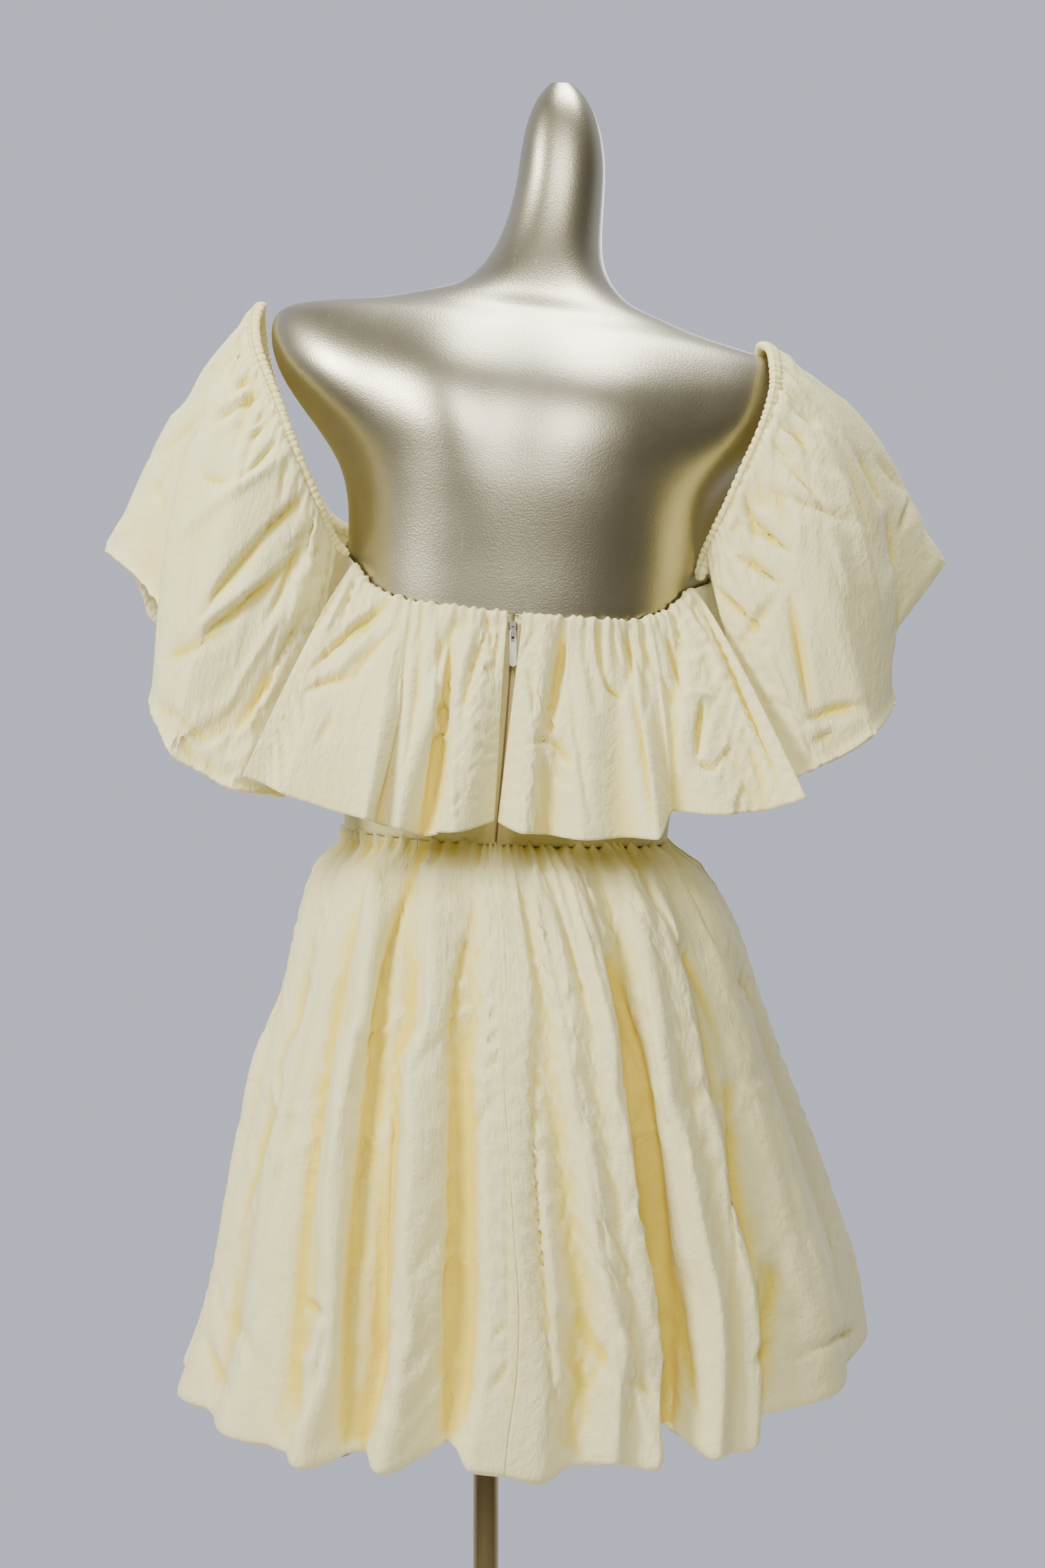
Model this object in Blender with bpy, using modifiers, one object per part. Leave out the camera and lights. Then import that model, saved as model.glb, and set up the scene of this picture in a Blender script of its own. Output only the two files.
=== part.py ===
"""Off-shoulder dress with a bubble skirt, on a limbless dress form and pole stand.

Metres, +Z up. The stand's axis is X = Y = 0 and its base rests on Z = 0. The
garment's back faces -Y and its front +Y, so the wearer's left is at -X.
A turn is an angle round the body seen from above: 0 is centre back, 90 is +X,
180 is centre front and -90 is -X.
"""
import math
from collections import namedtuple

import bmesh
import bpy
import numpy as np

MM = 0.001

# Driving dimensions, in metres and degrees
CLOTH = 0.002
SEAM_GAP = 0.0003
BODICE_CLEARANCE = 0.0017
BODICE_OUT = BODICE_CLEARANCE + CLOTH
FLOUNCE_OUT = BODICE_OUT + SEAM_GAP + CLOTH
SECTION_POWER = 2.4
WAIST_HEIGHT = 1.040
WAIST_SIDE_RISE = 0.005
BACK_OPENING_TURN = -2.8
BACK_OPENING_HALF_TURN = 0.75
SIDE_SEAM_TURNS = (-95.0, 93.0)
GATHER_DEPTH = 0.0012
FORM_SIDES = 30
STAND_SIDES = 36
BASE_RADIUS = 0.160
BASE_THICKNESS = 0.008
HUB_RADIUS = 0.024
HUB_HEIGHT = 0.034
POLE_RADIUS = 0.0092
FORM_BOTTOM = 0.775
COLLAR_RADIUS = 0.030
COLLAR_HEIGHT = 0.024
ELASTIC_RADIUS = 0.0040
ELASTIC_RUCHES = 28
SLIDER_HEIGHT = 1.1835
SLIDER_SIZE = (0.0060, 0.0030, 0.0150)
SLIDER_TAPER = 0.72
SLIDER_ROUNDING = 0.0006
TAPE_HALF_TURN = 0.55
TAPE_ROWS = 8
TAPE_DROP = 0.0005
BRIDGE_GAP = 0.0021
BRIDGE_STRAP = 0.0008
BRIDGE_WIDTH = 0.0016
BRIDGE_FOOT_HALF = 0.0048
BRIDGE_TOP_HALF = 0.0030
BRIDGE_HOLE_HALF = 0.0026
BRIDGE_HOLE_TOP_HALF = 0.0020
TAB_LENGTH = 0.0245
TAB_BAR = 0.0011
TAB_TIP_RADIUS = 0.0027
TAB_HEAD_HALF = 0.0023
TAB_SLOT_HALF = 0.0013
TAB_SLOT_BOTTOM = -0.0078
HOOK_WIRE_RADIUS = 0.00035
HOOK_DROP = 0.0015
EYE_OUT = 0.0012
HOOK_OUT = 0.0022

# The form: horizontal sections, in millimetres, before the body leans
Section = namedtuple("Section", "height half_width back front")
FORM_SECTIONS = [
    Section(775, 126, 84, 74),
    Section(785, 141, 102, 84),
    Section(820, 149, 116, 90),
    Section(860, 149, 118, 92),
    Section(900, 140, 110, 92),
    Section(940, 129, 97, 89),
    Section(980, 119, 84, 86),
    Section(1012, 115.2, 77, 83.5),
    Section(1036, 114, 75, 83),
    Section(1058, 114.4, 77.5, 85),
    Section(1082, 116, 82.5, 89),
    Section(1112, 119.3, 89.5, 97),
    Section(1145, 123.4, 97, 108),
    Section(1172, 127, 102.5, 117),
    Section(1203, 130, 106.5, 122),
    Section(1235, 131, 109, 121),
    Section(1265, 132, 112, 114),
    Section(1290, 137, 114, 104),
    Section(1313, 152, 114, 94),
    Section(1335, 172, 111, 83),
    Section(1360, 190, 102, 70),
    Section(1385, 196, 85, 58),
    Section(1397.5, 193, 75, 53),
    Section(1404, 175, 69, 50),
    Section(1409, 151, 64, 48),
    Section(1415, 121, 59, 47),
    Section(1420.5, 102, 56, 47),
    Section(1426, 84, 53, 47),
    Section(1431.5, 67, 49, 48),
    Section(1438.5, 57, 45, 49),
    Section(1453, 45, 38, 50),
    Section(1475, 37, 30, 48),
    Section(1505, 33.2, 23, 46),
    Section(1540, 31, 18, 44),
    Section(1563, 26.7, 12.5, 41),
    Section(1580, 20.4, 5, 36),
    Section(1590, 13.0, -3, 30),
    Section(1596.5, 3.5, -11, 18),
]
# How the form leans: the sideways shift of each height and how far its right side dips
Lean = namedtuple("Lean", "height shift dip_deg")
FORM_LEAN = [
    Lean(775, 0, 0),
    Lean(850, 0, 0.2),
    Lean(940, 5, 1.2),
    Lean(1036, 13.6, 2.6),
    Lean(1150, 24, 4.2),
    Lean(1250, 31, 5.6),
    Lean(1340, 36, 6.8),
    Lean(1405, 40, 7.3),
    Lean(1449, 43.2, 7.0),
    Lean(1505, 52.9, 5.5),
    Lean(1534, 56, 4.0),
    Lean(1563, 56.3, 2.0),
    Lean(1597, 54.8, 0),
]
# Hollows and swells of the upper back, in millimetres; a positive depth is a hollow
Relief = namedtuple("Relief", "side height width tall depth")
BACK_RELIEF = [
    Relief(-22, 1345, 20, 62, 5.0),
    Relief(-62, 1345, 38, 60, -4.0),
    Relief(38, 1345, 48, 62, -4.5),
    Relief(-110, 1330, 34, 60, 5.0),
    Relief(112, 1330, 34, 62, 5.0),
]

# Height of the neckline seam round the body
NeckPoint = namedtuple("NeckPoint", "turn height")
NECKLINE = [
    NeckPoint(-180, 1235),
    NeckPoint(-150, 1246),
    NeckPoint(-125, 1257),
    NeckPoint(-105, 1250),
    NeckPoint(-85, 1240),
    NeckPoint(-64, 1229),
    NeckPoint(-48, 1208),
    NeckPoint(-30, 1199),
    NeckPoint(-3, 1197),
    NeckPoint(28, 1198),
    NeckPoint(42, 1206),
    NeckPoint(57, 1229),
    NeckPoint(80, 1240),
    NeckPoint(102, 1250),
    NeckPoint(122, 1257),
    NeckPoint(150, 1246),
    NeckPoint(180, 1235),
]

# The skirt's outline over its folds: how far each side stands from X = 0 or Y = 0
SkirtSection = namedtuple("SkirtSection", "drop left right back front")
SKIRT_SECTIONS = [
    SkirtSection(20, 124, 156, 103, 108),
    SkirtSection(60, 138, 181, 133, 132),
    SkirtSection(105, 149, 197, 154, 152),
    SkirtSection(150, 167, 213, 169, 167),
    SkirtSection(200, 179, 233, 182, 180),
    SkirtSection(250, 189, 251, 191, 189),
    SkirtSection(300, 198, 268, 198, 196),
    SkirtSection(340, 207, 275, 203, 201),
    SkirtSection(380, 221, 279, 207, 205),
    SkirtSection(400, 226, 280, 208, 206),
]
# The skirt's folds, crest and valley in turn: where each starts at the waist and ends at
# the hem, how deep it lies there, and how high the hem is
SkirtFold = namedtuple("SkirtFold", "top_turn hem_turn depth hem")
SKIRT_BACK_LEFT = [
    SkirtFold(-95, -93, 0, 660),
    SkirtFold(-93, -91, 0, 660),
    SkirtFold(-86, -82, 12, 658),
    SkirtFold(-76, -72, 0, 655),
    SkirtFold(-65, -60, 13, 652),
    SkirtFold(-57, -50, 2, 648),
    SkirtFold(-48, -40, 17, 641),
    SkirtFold(-38, -34, 0, 637),
    SkirtFold(-28, -27.5, 34, 642),
    SkirtFold(-19, -21, 0, 638),
    SkirtFold(-9.5, -13, 24, 652),
    SkirtFold(-5.5, -7.5, 3, 639),
    SkirtFold(-2.4, -2.6, 3, 636.5),
]
SKIRT_BACK_RIGHT = [
    SkirtFold(-2.4, -2.6, 3, 636.5),
    SkirtFold(1, 2.5, 3, 632),
    SkirtFold(5, 8, 18, 639),
    SkirtFold(9.5, 13.5, 1, 645),
    SkirtFold(14.5, 16.5, 10, 641),
    SkirtFold(21, 20, 2, 641),
    SkirtFold(29, 24.5, 36, 660),
    SkirtFold(34.5, 29, 0, 646),
    SkirtFold(40, 32.5, 8, 646),
    SkirtFold(45, 35.5, 2, 649),
    SkirtFold(51, 39.5, 17, 663),
    SkirtFold(60, 52, 0, 672),
    SkirtFold(77, 70, 14, 676),
    SkirtFold(91, 88, 0, 683),
    SkirtFold(93, 90, 0, 683),
]
SKIRT_FRONT = [
    SkirtFold(93, 90, 0, 683),
    SkirtFold(95, 92, 0, 683),
    SkirtFold(103, 101, 16, 680),
    SkirtFold(113, 112, 0, 676),
    SkirtFold(122, 122, 22, 672),
    SkirtFold(131, 132, 0, 668),
    SkirtFold(140, 141, 14, 664),
    SkirtFold(148, 150, 1, 660),
    SkirtFold(157, 159, 26, 658),
    SkirtFold(166, 168, 0, 652),
    SkirtFold(174, 176, 15, 650),
    SkirtFold(183, 184, 1, 646),
    SkirtFold(191, 193, 24, 648),
    SkirtFold(200, 203, 0, 644),
    SkirtFold(209, 212, 18, 646),
    SkirtFold(219, 222, 1, 648),
    SkirtFold(228, 231, 26, 652),
    SkirtFold(238, 240, 0, 653),
    SkirtFold(247, 249, 15, 656),
    SkirtFold(255, 257, 1, 658),
    SkirtFold(259, 261, 8, 659),
    SkirtFold(263, 265, 0, 660),
    SkirtFold(265, 267, 0, 660),
]
SKIRT_STEP_TURN = 3.1
SKIRT_DROPS = (0.0, 0.03, 0.09, 0.19, 0.34, 0.53, 0.74, 0.91, 1.0)
# The bubble hem turns under: how far below the hem and how far inside it each row lies
HemRow = namedtuple("HemRow", "below inside")
SKIRT_HEM_ROWS = [HemRow(4, 6), HemRow(-1, 15), HemRow(-40, 28)]
SLEEVE_HEM_ROWS = [HemRow(2, 3.5), HemRow(-2, 7), HemRow(-16, 8.5)]

# A flounce's folds: where each leaves the neckline, and its hem point
FlounceFold = namedtuple("FlounceFold", "turn x y z")
FLOUNCE_BACK_LEFT = [
    FlounceFold(-4.7, 7.6, -124, 1053),
    FlounceFold(-11, -18, -142, 1046),
    FlounceFold(-18, -42, -127, 1045),
    FlounceFold(-25, -58, -141, 1050),
    FlounceFold(-32, -71, -130, 1053),
    FlounceFold(-36, -78, -152, 1056),
    FlounceFold(-44, -105, -149, 1064),
    FlounceFold(-52, -132, -150, 1073),
    FlounceFold(-56, -147, -144, 1079),
    FlounceFold(-60, -160.6, -147, 1083),
]
FLOUNCE_BACK_RIGHT = [
    FlounceFold(-0.1, 9.8, -124, 1052),
    FlounceFold(6, 28, -140, 1045),
    FlounceFold(12, 42, -128, 1045),
    FlounceFold(19, 68, -146, 1042),
    FlounceFold(25, 93, -137, 1044),
    FlounceFold(31, 118, -153, 1043),
    FlounceFold(36, 128, -130, 1062),
    FlounceFold(42, 158, -143, 1059),
    FlounceFold(48, 184, -135, 1060),
    FlounceFold(56, 217, -143, 1068.5),
]
FLOUNCE_FRONT = [
    FlounceFold(122, 198, 140, 1090),
    FlounceFold(128, 177, 143, 1080),
    FlounceFold(136, 152, 168, 1070),
    FlounceFold(145, 120, 158, 1064),
    FlounceFold(154, 90, 181, 1060),
    FlounceFold(163, 62, 167, 1058),
    FlounceFold(172, 34, 186, 1057),
    FlounceFold(181, 6, 171, 1057),
    FlounceFold(190, -22, 185, 1058),
    FlounceFold(199, -50, 166, 1060),
    FlounceFold(208, -78, 179, 1063),
    FlounceFold(217, -104, 157, 1068),
    FlounceFold(226, -130, 164, 1074),
    FlounceFold(232, -144, 141, 1080),
    FlounceFold(236, -158, 138, 1086),
]
FLOUNCE_STEPS = 3
FLOUNCE_DROPS = (0.0, 0.1, 0.27, 0.5, 0.75, 1.0)
FLOUNCE_BOW = 5.0

# The ruched elastic's path from the back corner over the shoulder to the front corner
PathPoint = namedtuple("PathPoint", "x y z")
ELASTIC_LEFT = [
    PathPoint(-94.4, -51.6, 1240.1),
    PathPoint(-106, -54, 1249),
    PathPoint(-118, -68, 1278),
    PathPoint(-133, -70, 1313),
    PathPoint(-148, -58, 1352),
    PathPoint(-164, -36, 1393),
    PathPoint(-167, -18, 1412),
    PathPoint(-164, -2, 1428),
    PathPoint(-166, 16, 1418),
    PathPoint(-166, 34, 1402),
    PathPoint(-157, 66, 1362),
    PathPoint(-141, 84, 1318),
    PathPoint(-124, 86, 1286),
    PathPoint(-106, 79, 1273),
    PathPoint(-89.3, 68.8, 1269.3),
]
ELASTIC_RIGHT = [
    PathPoint(150.8, -58.2, 1221),
    PathPoint(155, -54.5, 1238),
    PathPoint(171, -76, 1274),
    PathPoint(183, -82, 1301),
    PathPoint(193, -84, 1323),
    PathPoint(200, -81, 1343),
    PathPoint(204, -73, 1363),
    PathPoint(204, -53, 1384),
    PathPoint(200, -14, 1395.5),
    PathPoint(204, 34, 1379),
    PathPoint(206, 60, 1346),
    PathPoint(198, 80, 1312),
    PathPoint(180, 88, 1283),
    PathPoint(160, 78, 1264),
    PathPoint(155, 62.8, 1246.2),
]
# A sleeve's folds: how far along the elastic each starts, its hem point, and how far the
# cloth bows out between the two
SleeveFold = namedtuple("SleeveFold", "along x y z bow")
SLEEVE_LEFT = [
    SleeveFold(0.030, -137, -94, 1072, 3),
    SleeveFold(0.114, -171, -119, 1078, 7),
    SleeveFold(0.188, -190, -114, 1088, 9),
    SleeveFold(0.263, -212, -115, 1101, 17),
    SleeveFold(0.337, -223, -97, 1116, 18),
    SleeveFold(0.411, -235, -66, 1142, 26),
    SleeveFold(0.467, -226, -32, 1184, 14),
    SleeveFold(0.504, -247, -2, 1224, 17),
    SleeveFold(0.551, -281, 26, 1253, 20),
    SleeveFold(0.635, -264, 58, 1236, 16),
    SleeveFold(0.709, -258, 82, 1212, 21),
    SleeveFold(0.793, -222, 94, 1178, 13),
    SleeveFold(0.876, -198, 112, 1150, 14),
    SleeveFold(0.960, -140, 98, 1116, 3),
]
SLEEVE_RIGHT = [
    SleeveFold(0.055, 196, -100, 1078, 3),
    SleeveFold(0.122, 228, -114, 1093, 7),
    SleeveFold(0.195, 244, -109, 1100, 9),
    SleeveFold(0.268, 266, -108, 1114, 17),
    SleeveFold(0.340, 279, -88, 1126, 23),
    SleeveFold(0.422, 289, -58, 1143, 36),
    SleeveFold(0.477, 283, -26, 1172, 35),
    SleeveFold(0.513, 300, 2, 1194, 32),
    SleeveFold(0.568, 340, 34, 1245, 28),
    SleeveFold(0.641, 324, 62, 1224, 22),
    SleeveFold(0.713, 312, 86, 1200, 22),
    SleeveFold(0.795, 272, 98, 1166, 13),
    SleeveFold(0.877, 246, 108, 1140, 12),
    SleeveFold(0.950, 192, 94, 1108, 2),
]
SLEEVE_STEPS = 3
SLEEVE_DROPS = (0.0, 0.07, 0.2, 0.42, 0.7, 1.0)

# Colour, roughness and metallic value of each material
Finish = namedtuple("Finish", "colour roughness metallic")
FINISHES = {
    "yellow_poplin": Finish((0.86, 0.78, 0.47), 0.8, 0.0),
    "satin_gold": Finish((0.62, 0.55, 0.38), 0.35, 0.8),
    "stand_metal": Finish((0.45, 0.38, 0.24), 0.3, 1.0),
    "zip_metal": Finish((0.75, 0.72, 0.66), 0.3, 1.0),
    "ivory_enamel": Finish((0.85, 0.82, 0.70), 0.35, 0.0),
    "zip_tape": Finish((0.22, 0.14, 0.07), 0.8, 0.0),
}


def column(rows, name):
    """One named column of a table, as an array."""
    return np.array([getattr(row, name) for row in rows], dtype=float)


def smooth(where, knots, values):
    """Cubic curve through the values at the knots that never overshoots them."""
    knots = np.asarray(knots, dtype=float)
    values = np.asarray(values, dtype=float)
    rate = np.diff(values) / np.diff(knots)
    slope = np.empty_like(values)
    slope[0], slope[-1] = rate[0], rate[-1]
    before, after = rate[:-1], rate[1:]
    same_way = before * after > 0
    total = np.where(same_way, before + after, 1.0)
    slope[1:-1] = np.where(same_way, 2 * before * after / total, 0.0)
    where = np.clip(np.asarray(where, dtype=float), knots[0], knots[-1])
    piece = np.clip(np.searchsorted(knots, where, side="right") - 1, 0, len(knots) - 2)
    width = knots[piece + 1] - knots[piece]
    t = (where - knots[piece]) / width
    return (values[piece] * (1 + 2 * t) * (1 - t) ** 2
            + slope[piece] * width * t * (1 - t) ** 2
            + values[piece + 1] * t ** 2 * (3 - 2 * t)
            - slope[piece + 1] * width * t ** 2 * (1 - t))


def through(rows, names, steps):
    """Columns of a table, carried smoothly over its rows in steps from each to the next."""
    knots = np.arange(len(rows), dtype=float)
    counts = np.broadcast_to(steps, len(rows) - 1)
    where = np.concatenate([row + np.arange(count) / count for row, count in enumerate(counts)]
                           + [[len(rows) - 1]])
    return [smooth(where, knots, column(rows, name)) for name in names]


def ring(turn, centre_x, half_width, centre_y, half_depth):
    """Point of a rounded body section at a turn."""
    side, back = np.sin(np.radians(turn)), np.cos(np.radians(turn))
    swell = (np.abs(side) ** SECTION_POWER + np.abs(back) ** SECTION_POWER) ** (-1 / SECTION_POWER)
    return centre_x + half_width * side * swell, centre_y - half_depth * back * swell


def form_point(turn, height, out=0.0):
    """Point of the form, or of a surface a little outside it, at a turn and height."""
    turn, height = np.broadcast_arrays(np.asarray(turn, float), np.asarray(height, float))
    level = height / MM
    heights = column(FORM_SECTIONS, "height")
    half_width = smooth(level, heights, column(FORM_SECTIONS, "half_width")) * MM + out
    back = smooth(level, heights, column(FORM_SECTIONS, "back")) * MM
    front = smooth(level, heights, column(FORM_SECTIONS, "front")) * MM
    x, y = ring(turn, 0.0, half_width, (front - back) / 2, (front + back) / 2 + out)
    backness = np.clip(np.cos(np.radians(turn)) * 3, 0, 1)
    for mark in BACK_RELIEF:
        spread = ((x / MM - mark.side) / mark.width) ** 2 + ((level - mark.height) / mark.tall) ** 2
        y = y + mark.depth * MM * backness * np.exp(-spread)
    lean_heights = column(FORM_LEAN, "height")
    shift = smooth(level, lean_heights, column(FORM_LEAN, "shift")) * MM
    dip = np.radians(smooth(level, lean_heights, column(FORM_LEAN, "dip_deg")))
    return np.stack([shift + x * np.cos(dip), y, height - x * np.sin(dip)], axis=-1)


def neckline(turn):
    """Height of the neckline seam at a turn."""
    return smooth(turn, column(NECKLINE, "turn"), column(NECKLINE, "height")) * MM


def waistline(turn):
    """Height of the waist seam at a turn, before the body leans."""
    return WAIST_HEIGHT + WAIST_SIDE_RISE * np.sin(np.radians(turn)) ** 2


def new_material(name):
    """Material with one Principled shader, from the table of finishes."""
    if name in bpy.data.materials:
        return bpy.data.materials[name]
    finish = FINISHES[name]
    material = bpy.data.materials.new(name)
    material.use_nodes = True
    shader = material.node_tree.nodes["Principled BSDF"]
    shader.inputs["Base Color"].default_value = (*finish.colour, 1.0)
    shader.inputs["Roughness"].default_value = finish.roughness
    shader.inputs["Metallic"].default_value = finish.metallic
    return material


def add_object(name, data, material, parts):
    """Put a mesh or curve into the part's collection under its node name."""
    thing = bpy.data.objects.new(name, data)
    data.materials.append(new_material(material))
    parts.objects.link(thing)
    return thing


def grid_mesh(name, grid, closed=False):
    """Mesh of a grid of points: rows go down, columns go round, seen from outside."""
    rows, columns = grid.shape[:2]
    index = np.arange(rows * columns).reshape(rows, columns)
    if closed:
        index = np.concatenate([index, index[:, :1]], axis=1)
    quads = np.stack([index[:-1, :-1], index[1:, :-1], index[1:, 1:], index[:-1, 1:]], axis=-1)
    mesh = bpy.data.meshes.new(name)
    mesh.from_pydata(grid.reshape(-1, 3).tolist(), [], quads.reshape(-1, 4).tolist())
    mesh.shade_smooth()
    return mesh


def cloth_panel(name, grid, parts, leftwards=False):
    """Cloth wall whose outer face is a grid and whose thickness goes inwards."""
    if leftwards:
        grid = grid[:, ::-1]
    panel = add_object(name, grid_mesh(name, grid), "yellow_poplin", parts)
    wall = panel.modifiers.new("Cloth thickness", "SOLIDIFY")
    wall.thickness = CLOTH
    wall.offset = -1
    return panel


def unit(vectors):
    """Vectors at length one."""
    return vectors / np.linalg.norm(vectors, axis=-1, keepdims=True)


def pull_in_edges(grid, distance=SEAM_GAP / 2):
    """Move a grid's first and last columns inwards by half a seam gap."""
    grid = grid.copy()
    grid[:, 0] += unit(grid[:, 1] - grid[:, 0]) * distance
    grid[:, -1] += unit(grid[:, -2] - grid[:, -1]) * distance
    return grid


def gather_wave(columns, fade):
    """Small gathers, raised on every other column but the edges, fading down the cloth."""
    wave = 1.0 - (-1.0) ** np.arange(columns)
    wave[-1] = 0.0
    return GATHER_DEPTH * fade[:, None] * wave[None, :]


def make_form(parts):
    """Limbless torso with a tapered neck, lofted through its sections."""
    heights = column(FORM_SECTIONS, "height")[::-1] * MM
    turns = np.linspace(0, 360, FORM_SIDES, endpoint=False)
    grid = form_point(turns[None, :], heights[:, None])
    mesh = grid_mesh("form_body", grid, closed=True)
    shell = bmesh.new()
    shell.from_mesh(mesh)
    bmesh.ops.holes_fill(shell, edges=shell.edges[:], sides=0)
    bmesh.ops.recalc_face_normals(shell, faces=shell.faces[:])
    shell.to_mesh(mesh)
    shell.free()
    return add_object("form_body", mesh, "satin_gold", parts)


def turned(name, outline, material, parts):
    """Solid of revolution about the stand's axis; the outline runs down its outer side."""
    mesh = bpy.data.meshes.new(name)
    points = [(radius, 0.0, height) for radius, height in outline]
    mesh.from_pydata(points, [(i, i + 1) for i in range(len(points) - 1)], [])
    piece = add_object(name, mesh, material, parts)
    screw = piece.modifiers.new("Turned", "SCREW")
    screw.steps = STAND_SIDES
    screw.render_steps = STAND_SIDES
    screw.use_merge_vertices = True
    screw.merge_threshold = 0.00005
    return piece


def make_stand(parts):
    """Round base, hub, pole and the collar under the form, each resting on the last."""
    rim = 0.0015
    turned("stand_base", [
        (0.0, BASE_THICKNESS), (BASE_RADIUS - rim, BASE_THICKNESS),
        (BASE_RADIUS, BASE_THICKNESS - rim), (BASE_RADIUS, 0.0), (0.0, 0.0)], "stand_metal", parts)
    hub_bottom = BASE_THICKNESS + SEAM_GAP
    hub_top = hub_bottom + HUB_HEIGHT
    turned("stand_hub", [
        (0.0, hub_top), (POLE_RADIUS + 0.004, hub_top), (POLE_RADIUS + 0.005, hub_top - 0.014),
        (HUB_RADIUS, hub_bottom + 0.004), (HUB_RADIUS, hub_bottom), (0.0, hub_bottom)],
        "stand_metal", parts)
    collar_top = FORM_BOTTOM - SEAM_GAP
    collar_bottom = collar_top - COLLAR_HEIGHT
    turned("stand_collar", [
        (0.0, collar_top), (COLLAR_RADIUS, collar_top), (COLLAR_RADIUS, collar_top - 0.005),
        (POLE_RADIUS + 0.005, collar_top - 0.008), (POLE_RADIUS + 0.004, collar_bottom),
        (0.0, collar_bottom)], "stand_metal", parts)
    turned("stand_pole", [
        (0.0, collar_bottom - SEAM_GAP), (POLE_RADIUS, collar_bottom - SEAM_GAP),
        (POLE_RADIUS, hub_top + SEAM_GAP), (0.0, hub_top + SEAM_GAP)], "stand_metal", parts)


def bodice_grid(first_turn, last_turn, steps):
    """Fitted bodice between two turns, from the neckline down to the waist seam."""
    turns = np.linspace(first_turn, last_turn, steps + 1)
    drops = np.linspace(0, 1, 7)[:, None]
    wrapped = (turns + 180) % 360 - 180
    top, bottom = neckline(wrapped)[None, :], waistline(turns)[None, :]
    return form_point(turns[None, :], top + (bottom - top) * drops, BODICE_OUT)


def make_bodice(parts):
    """Front panel and two back panels, split at the back for the zip."""
    left, right = SIDE_SEAM_TURNS
    opening_left = BACK_OPENING_TURN - BACK_OPENING_HALF_TURN
    opening_right = BACK_OPENING_TURN + BACK_OPENING_HALF_TURN
    panels = [
        ("bodice_back_left", left, opening_left, 11),
        ("bodice_back_right", opening_right, right, 11),
        ("bodice_front", right, left + 360, 20),
    ]
    for name, first_turn, last_turn, steps in panels:
        cloth_panel(name, pull_in_edges(bodice_grid(first_turn, last_turn, steps)), parts)


def skirt_grid(rows):
    """Gathered skirt panel: folds fan out from the waist seam and the hem turns under."""
    steps = np.clip(np.round(np.diff(column(rows, "top_turn")) / SKIRT_STEP_TURN), 1, 3).astype(int)
    top_turn, hem_turn, depth, hem = through(rows, ("top_turn", "hem_turn", "depth", "hem"), steps)
    drops = np.array(SKIRT_DROPS)[:, None]
    seam = form_point(top_turn, waistline(top_turn) - SEAM_GAP, BODICE_OUT)
    height = seam[None, :, 2] + (hem[None, :] * MM - seam[None, :, 2]) * drops
    height = np.concatenate([height, height[-1] - column(SKIRT_HEM_ROWS, "below")[:, None] * MM])
    spread = np.sqrt(np.concatenate([drops, np.ones((len(SKIRT_HEM_ROWS), 1))]))
    turn = top_turn[None, :] + (hem_turn - top_turn)[None, :] * spread
    grow = np.minimum(1.0, 1.6 * drops ** 0.8 / (0.6 + drops ** 0.8))
    inset = depth[None, :] * MM * grow
    under = inset[-1] + column(SKIRT_HEM_ROWS, "inside")[:, None] * MM
    fade = np.exp(-(drops[:, 0] / 0.12) ** 2)
    inset = np.concatenate([inset - gather_wave(len(depth), fade), under])
    fall = (WAIST_HEIGHT - height) / MM
    drop_knots = np.concatenate([[0.0], column(SKIRT_SECTIONS, "drop")])
    waist = form_point(np.array([-90.0, 90.0, 0.0, 180.0]), WAIST_HEIGHT, BODICE_OUT) / MM
    start = {"left": -waist[0, 0], "right": waist[1, 0], "back": -waist[2, 1], "front": waist[3, 1]}
    reach = {side: smooth(fall, drop_knots, np.concatenate([[first], column(SKIRT_SECTIONS, side)])) * MM
             for side, first in start.items()}
    x, y = ring(turn, (reach["right"] - reach["left"]) / 2, (reach["right"] + reach["left"]) / 2 - inset,
                (reach["front"] - reach["back"]) / 2, (reach["front"] + reach["back"]) / 2 - inset)
    grid = np.stack([x, y, height], axis=-1)
    grid[0] = form_point(top_turn, waistline(top_turn) - SEAM_GAP, BODICE_OUT - inset[0])
    return grid


def make_skirt(parts):
    """Front panel and two back panels, sewn at the sides and down the centre back."""
    panels = {"skirt_back_left": SKIRT_BACK_LEFT, "skirt_back_right": SKIRT_BACK_RIGHT,
              "skirt_front": SKIRT_FRONT}
    for name, rows in panels.items():
        cloth_panel(name, pull_in_edges(skirt_grid(rows)), parts)


def bowed(top, hem, drops, bow, outwards):
    """Surface from a top edge to a hem that bows out on the way, most near the top."""
    line = hem - top
    along = np.gradient(top, axis=0)
    away = unit(np.cross(along, line)) * outwards
    bulge = np.sin(np.pi * drops ** 0.75)[:, None, None]
    return top[None] + line[None] * drops[:, None, None] + away[None] * bow[None, :, None] * bulge, away


def flounce_grid(rows, outwards):
    """Flounce hung from the neckline seam, its folds widening to the hem."""
    turn, x, y, z = through(rows, ("turn", "x", "y", "z"), FLOUNCE_STEPS)
    wrapped = (turn + 180) % 360 - 180
    top = form_point(turn, neckline(wrapped), FLOUNCE_OUT)
    hem = np.stack([x, y, z], axis=-1) * MM
    drops = np.array(FLOUNCE_DROPS)
    grid, away = bowed(top, hem, drops, np.full(len(turn), FLOUNCE_BOW * MM), outwards)
    fade = np.exp(-(drops / 0.2) ** 2)
    return grid + away[None] * gather_wave(len(turn), fade)[..., None]


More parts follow.
